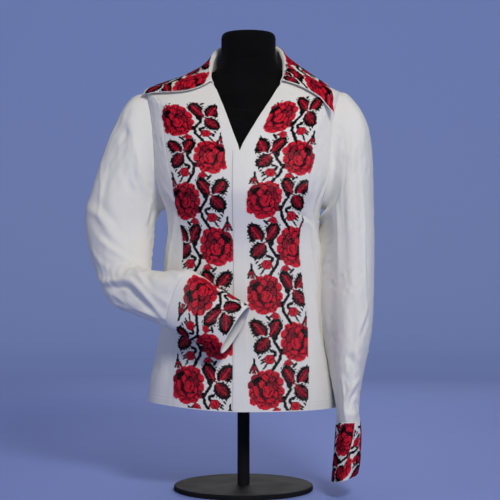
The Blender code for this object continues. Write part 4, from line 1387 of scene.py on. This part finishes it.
one_side = spray()
other_side = np.roll(one_side[:, ::-1], REPEAT // 2, axis=0)
chart = np.where(one_side > 0, one_side, other_side)


def chart_at(c, r):
    """The thread of a square, or 0 where the cloth stays bare."""
    c, r = np.asarray(c, int), np.asarray(r, int)
    inside = np.abs(c) <= REACH
    return np.where(inside, chart[r % REPEAT, np.clip(c + REACH, 0, 2 * REACH)], 0)


print("stitches in a repeat:", int((chart > 0).sum()), "of", chart.size)

# %% [markdown]
# ## Laying stitches on the cloth
#
# A cross-stitch is two short bars of thread that cross over one square.  Each bar is a
# small roof of two long slopes, with its ridge a little above the cloth.  Its ends need no
# faces of their own, because the next square's bars meet them in the corner.  The
# corners of the squares are found on the cloth first, so the stitches follow every fold.
# All the stitches of one piece are one mesh, with one finish for each colour of thread.

# %% Stitches from a lattice of corners
THREAD_HALF = 0.63      # half the width of one bar, mm; the bars hide the cloth
THREAD_HIGH = 0.34
BED = -0.30             # the foot of a bar is just inside the cloth
STITCH_LIFT = 0.2       # the squares lie this far above the cloth
SECOND_BAR = 0.16       # the bar on top is this much higher
UNEVEN = 0.05           # how much the bars differ, mm up and shares of THREAD_HALF
RIDGE_ENDS = 0.06       # the ridge stops this share of a bar short of its ends


def stitches(name, corners, codes, seed):
    """Cross-stitches on a lattice of points; codes has one number for each square."""
    normals = grid_normals(corners)
    rows, columns = np.nonzero(codes > 0)
    code = codes[rows, columns]
    draw = np.random.default_rng(seed)
    points, faces, finish = [], [], []
    for level, (first, second) in enumerate((((0, 0), (1, 1)), ((0, 1), (1, 0)))):
        start = corners[rows + first[0], columns + first[1]]
        end = corners[rows + second[0], columns + second[1]]
        normal = unit(normals[rows + first[0], columns + first[1]]
                      + normals[rows + second[0], columns + second[1]])
        along = end - start
        side = unit(np.cross(normal, along)) * THREAD_HALF
        high = THREAD_HIGH + SECOND_BAR * level + draw.uniform(-UNEVEN, UNEVEN, len(code))
        wander = draw.uniform(-UNEVEN, UNEVEN, (len(code), 1)) * side
        foot = normal * BED
        top = normal * high[:, None] + wander
        roof = [start - side + foot, start + side + foot, end + side + foot, end - side + foot,
                start + along * RIDGE_ENDS + top, end - along * RIDGE_ENDS + top]
        at = (len(points) * len(code) + np.arange(len(code))) * len(roof)
        points.append(np.stack(roof, 1).reshape(-1, 3))
        for face in ((0, 3, 5, 4), (2, 1, 4, 5)):
            faces.append(at[:, None] + np.array(face))
            finish.append(code)
    faces = np.concatenate(faces)
    piece = mesh_of(name, np.concatenate(points), faces, np.concatenate(finish))
    print(name, "stitches:", len(code))
    return piece


def mesh_of(name, points, faces, finish):
    """A mesh of many small quads, each with the finish of its colour of thread."""
    mesh = bpy.data.meshes.new(name)
    mesh.vertices.add(len(points))
    mesh.vertices.foreach_set("co", (points * MM).ravel())
    mesh.loops.add(faces.size)
    mesh.loops.foreach_set("vertex_index", faces.ravel().astype(np.int32))
    mesh.polygons.add(len(faces))
    mesh.polygons.foreach_set("loop_start", np.arange(0, faces.size, 4, dtype=np.int32))
    mesh.polygons.foreach_set("loop_total", np.full(len(faces), 4, dtype=np.int32))
    for material in thread_finishes:
        mesh.materials.append(material)
    mesh.polygons.foreach_set("material_index", (finish - 1).astype(np.int32))
    mesh.update(calc_edges=True)
    mesh.validate()
    piece = bpy.data.objects.new(name, mesh)
    bpy.context.scene.collection.objects.link(piece)
    return piece


# %% [markdown]
# ## The bands of the two fronts
#
# On a front the squares are counted from the opening outwards and from the hem upwards.
# Both distances are measured along the cloth, so a stitch keeps its size over the bust,
# where the cloth leans back.  The panel is eased over the bust, so the roses there sit a
# little closer and further out; a short table gives the place of each.  A plain strip beside
# the opening, widest at the point of the V, stays bare, and the princess seam cuts off
# whatever reaches it.

# %% Count the squares of a front
LAST_ROSE = 276         # rows of the chart from the first rose to the last, under the collar
# each rose: its row on the cloth, its row of the chart, and how many squares the middle
# of the band lies from the opening there; a front is eased over the bust, so rows close up
BANDS = {
    "left": ((-39, -60, 41.5), (21, 0, 41.5), (67, 46, 41), (113, 92, 39.5), (159, 138, 37),
             (209, 184, 39.5), (248, 230, 43.5), (297, 276, 35.5), (357, 336, 35.5)),
    "right": ((-37, -60, 36), (23, 0, 36), (69, 46, 37), (115, 92, 37.5), (159, 138, 38),
              (207, 184, 40), (251, 230, 44), (291, 276, 36), (351, 336, 36)),
}
# squares left bare beside the opening, by row
BARE = ((0, 7), (210, 7), (226, 8), (238, 11.5), (250, 14), (262, 13), (284, 10),
        (316, 6), (340, 6))
BARE_BY_SEAM = 0.9      # mm left bare beside the princess seam
BARE_BY_NECK = 6        # and under the seam of the collar
BAND_COLUMNS = 84
fine_up = np.linspace(0, NECK_ROW, 500)
fine_angle = np.linspace(0, QUARTER, 260)


def front_lattice(sign):
    """The corners of the squares on a front, with the angle and height of each."""
    arc = run(plain(fine_angle[None], fine_up[:, None]), 1)
    start = v_angle(fine_up)
    out = STITCH * np.arange(BAND_COLUMNS + 1)
    angle = np.empty((len(fine_up), len(out)))
    for k in range(len(fine_up)):
        begin = np.interp(start[k], fine_angle, arc[k])
        angle[k] = np.interp(begin + out, arc[k], fine_angle)
    length = run(plain(angle, fine_up[:, None]))
    count = int(length[-1, 0] / STITCH)
    rise = STITCH * np.arange(count + 1)
    up = np.stack([np.interp(rise, length[:, j], fine_up) for j in range(len(out))], 1)
    theta = np.stack([np.interp(up[:, j], fine_up, angle[:, j]) for j in range(len(out))], 1)
    lift = np.maximum(hem_lift(up), 0) + STITCH_LIFT
    return body(sign * theta, up, lift, body_creases), theta, up


def embroider_front(side, sign):
    """The band of one front: the chart, laid square by square where the front is bare."""
    corners, theta, up = front_lattice(sign)
    rows, columns = up.shape[0] - 1, up.shape[1] - 1
    r, c = np.meshgrid(np.arange(rows), np.arange(columns), indexing="ij")
    on_cloth, on_chart, middle = np.array(BANDS[side], float).T
    row = np.floor(np.interp(r, on_cloth, on_chart) + 0.5).astype(int)
    column = sign * (c - np.floor(np.interp(r, on_cloth, middle) + 0.5).astype(int))
    codes = chart_at(column, row)
    seam = princess_angle(up)
    seam = np.where(up > HEAD_ROW, QUARTER, seam) - arc_angle(seam, up, BARE_BY_SEAM)
    fits = (theta < seam) & (up < NECK_ROW - BARE_BY_NECK)
    fits = fits[:-1, :-1] & fits[1:, :-1] & fits[:-1, 1:] & fits[1:, 1:]
    fits &= (c >= np.interp(r, *np.array(BARE, float).T)) & (r > 0)
    # above the last rose and the spray beside it the cloth stays bare
    in_rose = np.hypot((column - ROSE_COLUMN) / 18.5, (row - LAST_ROSE) / 20.5) < 1
    fits &= (row < LAST_ROSE + 12) | in_rose | ((row < LAST_ROSE + 24) & (column > -2))
    codes = np.where(fits, codes, 0)
    if sign < 0:
        corners, codes = corners[:, ::-1], codes[:, ::-1]
    return belongs(stitches("embroidery_front_" + side, corners, codes, 70 + sign), "cotton")


front_stitches = {}
for side, sign in SIDES:
    front_stitches[side] = embroider_front(side, sign)

# %% [markdown]
# ## The cuffs
#
# A cuff is a straight band of stiffened double cloth, wrapped round the wrist so that one
# end laps over the other.  It is rolled here in the same way: the columns go once round
# and a little further, and the last ones are lifted over the first.  The band of
# embroidery lies across the cuff, from the sleeve's seam to the hand.

# %% Points round a rolled cuff
LAP = 24.0              # degrees of overlap
LAP_RISES = (336, 358)  # the end on top is lifted between these degrees
CUFF_ROWS = 36
CUFF_COLUMNS = 180


def wrapped(ring_grid, turns):
    """Points of closed rings at any turn in degrees; one row of turns for each ring."""
    count = ring_grid.shape[1]
    at = ((180 - turns) % 360) / 360 * count
    low = np.floor(at).astype(int) % count
    part = (at - np.floor(at))[..., None]
    row = np.arange(len(ring_grid))[:, None]
    return ring_grid[row, low] * (1 - part) + ring_grid[row, (low + 1) % count] * part


print("cuff lap, degrees:", LAP)


# %% Cut, roll and stitch the cuffs
def cuff(side, table, sleeve_table, slit, pitch, seam_column, first_row, way):
    """One cuff and its stitches, from the sleeve's seam to the hand.

    slit says how many degrees round the opening lies at each end; pitch is the side of a
    square; seam_column and first_row are where the chart starts at the seam and the slit;
    way is +1 where the chart's rows follow the turn.
    """
    half_round, quarter_round = CUFF_COLUMNS // 2, CUFF_COLUMNS // 4
    angles = np.pi - 2 * np.pi * np.arange(CUFF_COLUMNS) / CUFF_COLUMNS
    end = section(sleeve_table[-1], sleeve_table[-2], table[0], angles)
    axis = unit(np.cross(end[half_round] - end[0], end[quarter_round] - end[0]))
    rings = np.array(tube_rings(table, angles))
    axis = axis * (-1 if (rings[1, 0] - rings[0, 0]) @ axis < 0 else 1)
    rings[0] = end + axis * SEAM_GAP
    marks = stations_of(rings)
    along = np.concatenate([[0, 0.7], np.linspace(2.5, marks[-1] - 2.5, CUFF_ROWS),
                            [marks[-1] - 0.7, marks[-1]]])
    smooth = spline(marks, rings)

    def surface(distances, steps, height):
        """Points of the cuff: distance along it, degrees from the slit, lift."""
        grid = smooth(distances)
        normals = tube_normals(grid, len(distances) // 2)
        start = slit[0] + (slit[1] - slit[0]) * distances / marks[-1]
        turns = start[:, None] + steps[None]
        low, high = LAP_RISES
        lap = (CUFF_WALL + 0.5) * ease((steps[None] - low) / (high - low))
        wave = 0.35 * ripple(turns * 0.8, distances[:, None], 61 + len(side), 24)
        away = unit(wrapped(normals, turns)) * (lap + wave + height)[..., None]
        return wrapped(grid, turns) + away

    steps = np.concatenate([[0, 0.6, 1.4], np.linspace(3, 357 + LAP, 176),
                            [358.6 + LAP, 359.4 + LAP, 360 + LAP]])
    to_edge = np.minimum(along, marks[-1] - along)[:, None]
    to_end = np.minimum(steps, steps[-1] - steps)[None] * 1.3
    edge = np.minimum(to_edge, to_end)
    lift = -0.7 * bell(edge, 0.8) - 0.35 * bell(edge - 2.4, 0.5)
    outer = surface(along, steps, lift)
    inner = surface(along, steps, -CUFF_WALL - lift * 0.6)
    piece = sheet_mesh("cuff_" + side + "_cloth", outer, inner, white_cotton)
    belongs(piece, "cotton", "cuff_" + side)

    rows = int(marks[-1] / pitch)
    girth = np.linalg.norm(np.diff(outer[len(along) // 2], axis=0), axis=-1).sum()
    columns = int(girth / pitch)
    distances = marks[-1] - 1.4 - pitch * np.arange(rows - 1)[::-1]
    corners = surface(distances, np.linspace(0.8, 359.2 + LAP, columns + 1), STITCH_LIFT)
    i, j = np.meshgrid(np.arange(len(distances) - 1), np.arange(columns), indexing="ij")
    codes = chart_at(seam_column - i, first_row + way * j)
    if way < 0:
        corners, codes = corners[:, ::-1], codes[:, ::-1]
    sewn = belongs(stitches("embroidery_cuff_" + side, corners, codes, 80 + way), "cotton")
    print("cuff", side, "length and girth mm:", round(marks[-1], 1), round(girth, 1))
    return piece, sewn


# the squares are finer than on the fronts, to suit the small bands
left_cuff, left_cuff_thread = cuff("left", HANGING_CUFF, HANGING_SLEEVE, slit=(40.0, 84.0),
                                   pitch=1.64, seam_column=31, first_row=29, way=1)
right_cuff, right_cuff_thread = cuff("right", BENT_CUFF, BENT_SLEEVE, slit=(250.0, 250.0),
                                     pitch=1.62, seam_column=39, first_row=146, way=-1)

# %% [markdown]
# ## The collar
#
# The collar is one strip that rises round the neck, rolls over at the fold and falls on
# to the shoulders, ending in two long points in front.  It is laid out from thirteen
# stations round the neck, each with its fold, the middle of its fall and its outer edge.
# Then every point is pushed clear of the shirt below, so the fall rests on it as cloth
# does, and the result is smoothed.

# %% Stations of the collar, in millimetres
# station, neckline angle, then the fold line, the middle of the fall and the
# outer edge as (x, y, z); the first and last rows are the two long points
COLLAR = (
    (-1.00, -54, -54, -49, 719, -102, -54, 705, -180, -29, 708),
    (-0.86, -66, -58, -32, 742, -103, -30, 724, -173, -8, 717),
    (-0.68, -87, -59, -5, 767, -98, 4, 748, -160, 14, 722),
    (-0.47, -117, -51, 27, 793, -82, 40, 760, -138, 46, 724),
    (-0.30, -140, -37, 50, 804, -66, 72, 765, -108, 74, 724),
    (-0.15, -160, -16, 64, 809, -34, 86, 772, -58, 91, 731),
    (0.00, -180, 8, 69, 810, 8, 91, 775, 8, 97, 735),
    (0.15, -200, 32, 64, 809, 50, 86, 772, 72, 91, 731),
    (0.30, -220, 53, 50, 804, 84, 74, 768, 116, 76, 724),
    (0.47, -243, 67, 27, 793, 98, 44, 765, 142, 46, 725),
    (0.68, -273, 75, -5, 767, 110, -6, 749, 146, -8, 727),
    (0.86, -294, 74, -32, 744, 112, -34, 733, 157, -42, 702),
    (1.00, -306, 70, -49, 725, 114, -56, 712, 163, -70, 668),
)
COLLAR_STATIONS = 130
FALL_STEPS = 24         # points down the fall
FOLD_RADIUS = 4.0
COLLAR_MIDDLE = 8.0     # x of the middle of the neck
COLLAR_OVER = 430       # the collar lies over the body above this distance up the cloth
SLEEVE_ROWS_UNDER = 40  # and over this many rows of each sleeve
SWEEPS = 5              # times that the fall is pushed clear; it is smoothed in between
REACH_OF_PUSH = 40      # cloth further away than this doesn't push
STAND_POINTS = 8        # points from the foot of the stand to the far side of the fold
FOLD_POINT = 5          # the point on top of the fold


print("collar stations:", len(COLLAR))


# %% Lines of the collar, and what it rests on
def cloth_tree():
    """The outside of the body and the sleeve heads, for the collar to rest on."""
    turns = np.radians(np.arange(-180, 180, 2.5))
    ups = panel_ups[panel_ups > COLLAR_OVER]
    grids = [body(turns[None], ups[:, None]), left_grid[1:SLEEVE_ROWS_UNDER],
             right_grid[1:SLEEVE_ROWS_UNDER]]
    points = np.concatenate([grid.reshape(-1, 3) for grid in grids])
    faces, first = [], 0
    for grid in grids:
        faces.append(grid_faces(*grid.shape[:2], ring=True, first=first))
        first += grid.shape[0] * grid.shape[1]
    return BVHTree.FromPolygons(points.tolist(), np.concatenate(faces).tolist())


def lift_clear(tree, point, clear):
    """Push a point out until it is clear of the cloth under it."""
    point = Vector(point)
    hit, _, _, distance = tree.find_nearest(point)
    if hit is None or distance > REACH_OF_PUSH:
        return point
    # outward is away from a point between the shoulders, a little below the cloth
    inside = Vector((4.0, 0.0, min(hit.z - 30, 690.0)))
    outward = (hit - inside).normalized()
    if (point - hit).dot(outward) < 0 or distance < 0.2:
        return hit + outward * clear
    if distance < clear:
        return hit + (point - hit).normalized() * clear
    return point


def collar_line(t, columns, end):
    """One line of the collar from its foot, over the fold, to its outer edge."""
    values = [float(column(t)) for column in columns]
    # the foot follows the neck seam and stops just short of the V on each side
    turn = min(max(values[0], -360 + end + 0.8), -end - 0.8)
    foot = plain(math.radians(turn), NECK_ROW) + (0, 0, SEAM_GAP + COLLAR_WALL / 2)
    fold, middle, edge = (np.array(values[k:k + 3]) for k in (1, 4, 7))
    # the fold rolls away from the neck, and at the two points towards the fall
    out = unit(np.array([fold[0] - COLLAR_MIDDLE, fold[1], 0.0]))
    level = unit(np.array([middle[0] - fold[0], middle[1] - fold[1], 0.0]))
    out = unit(out + level * ease((abs(t) - 0.8) / 0.2))
    fold[2] = max(fold[2], foot[2] + 5.0)
    radius = min(FOLD_RADIUS, 0.36 * (fold[2] - foot[2]))
    down = np.array([0, 0, radius])
    root = fold - out * radius - down
    line = [foot, foot + (root - foot) / 3, foot + (root - foot) * 2 / 3]
    for degrees in (180, 130, 90, 50, 0):
        a = math.radians(degrees)
        line.append(fold - down + out * radius * math.cos(a) + down * math.sin(a))
    # the fall leaves the fold straight down and bends over to the outer edge
    start = line[-1]
    first = start - np.array([0, 0, min(6.0, 0.4 * (fold[2] - foot[2]))])
    bend = 2 * middle - (first + edge) / 2
    for k in range(1, FALL_STEPS + 1):
        s = k / FALL_STEPS
        p = first * (1 - s) ** 2 + bend * 2 * s * (1 - s) + edge * s * s
        line.append(start + (p - start) * ease(s * 3.0) if s < 0.34 else p)
    return line


print("points in a line of the collar:", STAND_POINTS + FALL_STEPS)


# %% Lay the collar down
def collar_grid():
    """The middle of the collar's cloth, resting on the shirt and smoothed."""
    columns = [curve(COLLAR, k) for k in range(1, 11)]
    end = math.degrees(float(v_angle(NECK_ROW)))
    stations = np.linspace(-1, 1, COLLAR_STATIONS + 1)
    # lines lie closer together towards the two points
    stations = np.sign(stations) * (1 - (1 - np.abs(stations)) ** 1.4)
    grid = np.array([collar_line(t, columns, end) for t in stations])
    tree = cloth_tree()
    first = STAND_POINTS
    away = np.abs(stations)[:, None]
    # how far the middle of the fall stays from the shirt: more at the points and, over
    # the fronts, more towards the outer edge
    clear = COLLAR_WALL / 2 + 2.4 + 3.4 * ease((away - 0.82) / 0.18)
    rise = ease(np.linspace(0, 1, grid.shape[1] - first))
    clear = clear + 2.5 * rise * ease((away - 0.5) / 0.3) * (1 - ease((away - 0.85) / 0.15))
    for sweep in range(SWEEPS):
        for i in range(grid.shape[0]):
            for k in range(first, grid.shape[1]):
                grid[i, k] = lift_clear(tree, grid[i, k], clear[i, k - first])
        if sweep < SWEEPS - 1:
            fall = grid[:, first:]
            soft = fall.copy()
            soft[1:-1] = (fall[:-2] + 2 * fall[1:-1] + fall[2:]) / 4
            soft[:, 1:-1] = (soft[:, :-2] + 2 * soft[:, 1:-1] + soft[:, 2:]) / 4
            grid[:, first:] = soft
    return grid


collar_middle = collar_grid()
collar_normals = grid_normals(collar_middle)
print("collar grid:", collar_middle.shape[:2])


# %% The collar's cloth and stitches
def collar_lift():
    """Rounded edges for the fall, and how far each point is from the outer edge."""
    across = np.linalg.norm(np.diff(collar_middle, axis=1), axis=-1)
    from_edge = np.concatenate([np.cumsum(across[:, ::-1], 1)[:, ::-1],
                                np.zeros((len(collar_middle), 1))], 1)
    from_tip = run(collar_middle[:, -8])
    from_tip = np.minimum(from_tip, from_tip[-1] - from_tip)[:, None]
    return -0.5 * bell(np.minimum(from_edge, from_tip), 0.9), from_edge


edge_lift, from_edge = collar_lift()
half_wall = collar_normals * (COLLAR_WALL / 2 + edge_lift)[..., None]
outer = collar_middle - half_wall
inner = collar_middle + half_wall
collar = sheet_mesh("collar_cloth", outer, inner, white_cotton)
belongs(collar, "cotton", "collar")

COLLAR_MARGIN = 0.7     # bare rim round the fall, mm
COLLAR_EDGE = 33        # the chart's column at the outer edge
COLLAR_PITCH = 1.92     # the squares are this long round the neck
# squares along the collar from the right point, and the chart's row there
COLLAR_ROWS = ((0, 283), (60, 223), (200, 95), (255, 40))


def embroider_collar():
    """The band of the collar, its squares counted in from the outer edge of the fall."""
    fall = outer[:, FOLD_POINT:]
    fall = fall + unit(fall - collar_middle[:, FOLD_POINT:]) * STITCH_LIFT
    reach = from_edge[:, FOLD_POINT:]
    girth = run(fall[:, -9])
    columns = int((girth[-1] - 2 * COLLAR_MARGIN) / COLLAR_PITCH)
    rows = int((reach.max() - COLLAR_MARGIN) / STITCH)
    places = COLLAR_MARGIN + COLLAR_PITCH * np.arange(columns + 1)
    lines = spline(girth, fall)(places)
    reaches = spline(girth, reach)(places)
    distance = COLLAR_MARGIN + STITCH * np.arange(rows + 1)
    corners = np.empty((columns + 1, rows + 1, 3))
    for k in range(3):
        for i in range(columns + 1):
            corners[i, :, k] = np.interp(distance, reaches[i, ::-1], lines[i, ::-1, k])
    fits = distance[None] <= reaches[:, :1] - 0.5
    fits = fits[:-1, :-1] & fits[1:, 1:] & fits[:-1, 1:] & fits[1:, :-1]
    i, j = np.meshgrid(np.arange(columns), np.arange(rows), indexing="ij")
    # near the right point the squares lean over, so that the leaves follow its edge
    row = np.interp(i, *np.array(COLLAR_ROWS, float).T)
    row = np.floor(row + 12 * ease((44 - j) / 20) * ease((60 - i) / 40) + 0.5).astype(int)
    column = COLLAR_EDGE - j + np.floor(3 * ease((70 - i) / 40) + 0.5).astype(int)
    codes = np.where(fits, chart_at(column, row), 0)
    return belongs(stitches("embroidery_collar", corners, codes, 90), "cotton")


collar_thread = embroider_collar()
print("collar m2:", round(area_of(collar), 4))

# %% [markdown]
# ## The dress form and its stand
#
# The form is a closed torso that follows the inside of the shirt with a little air
# between, and a neck that ends in a softly rounded top.  It is whole under the cloth, as
# a real form is.  A jersey cover is pulled over it.  It is drawn again here with more
# rings than the solid has, so its outline is smooth; the pole and the base keep their
# solids and only get their paint.

# %% The torso and the neck
# how far the skin is under the cloth: up the cloth, front and back, sides
FORM_INSET = (
    (48, 9, 14), (145, 7, 9), (257, 6, 7), (341, 6, 6), (383, 5.5, 9),
    (448, 5, 13), (520, 5, 15), (556, 5.5, 11), (573, 6, 7), (584, 6, 6),
    (598, 6, 3.0), (620, 6, 2.3), (650, 6, 2.3), (680, 6.0, 4.8),
)
FORM_COLUMNS = 144
FORM_LINES = 190        # rings added between those of the tables
# height, half width, front, back, front drop, back rise
FORM_NECK = (
    (754, 59, 70, 56, 62, 17),
    (761, 54, 63, 53, 46, 14),
    (772, 50, 56, 50, 28, 10),
    (787, 49, 51, 49, 12, 5),
    (800, 49, 49.5, 49, 3, 2),
    (810, 49, 49, 49, 0, 0),
    (816.5, 47, 47, 47, 0, 0),
    (820, 43, 43, 43, 0, 0),
    (821.2, 37, 37, 37, 0, 0),
)
FORM_ROWS = (FORM_BOTTOM, 70, 98, 145, 200, 257, 308, 341, 358, 383, 405, 448, 490,
             530, 556, 573, 584, 598, 620, 635, 650, 665, 680)
# the rounded bottom: share of the first ring, mm below it
FORM_FOOT = ((0.02, 26), (0.3, 26), (0.55, 26), (0.82, 23), (0.93, 18), (0.98, 10))

turns = np.linspace(0, 2 * np.pi, FORM_COLUMNS, endpoint=False)
front_inset, side_inset = curve(FORM_INSET, 1), curve(FORM_INSET, 2)
rings = []
first = body(turns, FORM_BOTTOM, -FORM_INSET[0][1] - 5 - body_folds(turns, FORM_BOTTOM))
for shrink, drop in FORM_FOOT:
    ring = first * (shrink, shrink, 0)
    ring[:, 2] = HEIGHT(FORM_BOTTOM) - drop
    rings.append(ring)
for up in FORM_ROWS:
    share = np.abs(np.sin(turns)) ** (3 if up < SHOULDER_TIP else 10)
    inset = front_inset(up) * (1 - share) + side_inset(up) * share
    rings.append(plain(turns, up) - plain_normal(turns, up) * inset[:, None])
for row in FORM_NECK:
    rings.append(ring_point(turns, *row, 2.0))
top, radius = FORM_NECK[-1][:2]
rings.append(rings[-1] * (0.6, 0.6, 1))
for shrink in (0.3, 0.02):
    rings.append(ring_point(turns, top, *[radius * shrink] * 3, 0, 0, 2.0))
rings = np.array(rings)
steps = np.linalg.norm(np.diff(rings, axis=0), axis=-1).mean(1)
marks = np.concatenate([[0], np.cumsum(steps)])
places = np.unique(np.concatenate([marks, np.linspace(0, marks[-1], FORM_LINES)]))
dense = spline(marks, rings)(places)
points = dense.reshape(-1, 3)
faces = grid_faces(*dense.shape[:2], ring=True).tolist()
faces.append(list(range(FORM_COLUMNS))[::-1])
faces.append(list(range(len(points) - FORM_COLUMNS, len(points))))
torso = new_mesh("form_cover", points, faces, jersey)
belongs(torso, "form_cover", "form_torso")
for name in ("form_pole", "form_base"):
    for slot in frame["nodes"][name].material_slots:
        slot.material = paint
print("form rings:", len(dense))

# %% [markdown]
# ## Each cloth and the flat piece it was cut from
#
# Every panel was cut flat before it was sewn and worn.  Each cut is listed here with its
# width, its length and its area, which is smaller than the two multiplied where an edge is
# curved, and its area is printed beside that of the finished piece.

def cut(piece, width, length, area, rests_on, thread=(), held="stretched"):
    """Print the area of one flat cut, in square metres, beside the finished area."""
    print(f"{piece.name}: cut {area:.4f} m2, worn {area_of(piece):.4f} m2")


for side, _ in SIDES:
    cut(fronts[side], 0.17, 0.60, 0.0750, [torso], [front_stitches[side]])
    cut(side_fronts[side], 0.09, 0.57, 0.0410, [torso])
    cut(facings[side], 0.024, 0.13, 0.0025, [fronts[side]])
cut(back, 0.46, 0.63, 0.2450, [torso])
cut(placket, 0.024, 0.46, 0.0110, [torso])
cut(right_sleeve, 0.37, 0.58, 0.1600, [side_fronts["right"], back], held="hung")
cut(left_sleeve, 0.37, 0.58, 0.1600, [side_fronts["left"], back], held="hung")
cut(left_cuff, 0.240, 0.101, 0.0240, [left_sleeve], [left_cuff_thread], held="hung")
cut(right_cuff, 0.267, 0.117, 0.0310, [right_sleeve], [right_cuff_thread], held="hung")
cut(collar, 0.48, 0.13, 0.0530, [back], [collar_thread], held="folded")

# %% Measure and finish
total = 0
for piece in bpy.data.objects:
    if piece.type == "MESH" and not piece.hide_render and piece != floor:
        count = sum(len(face.vertices) - 2 for face in piece.data.polygons)
        total += count
        print(f"{piece.name}: {count} triangles")
print("all:", total)
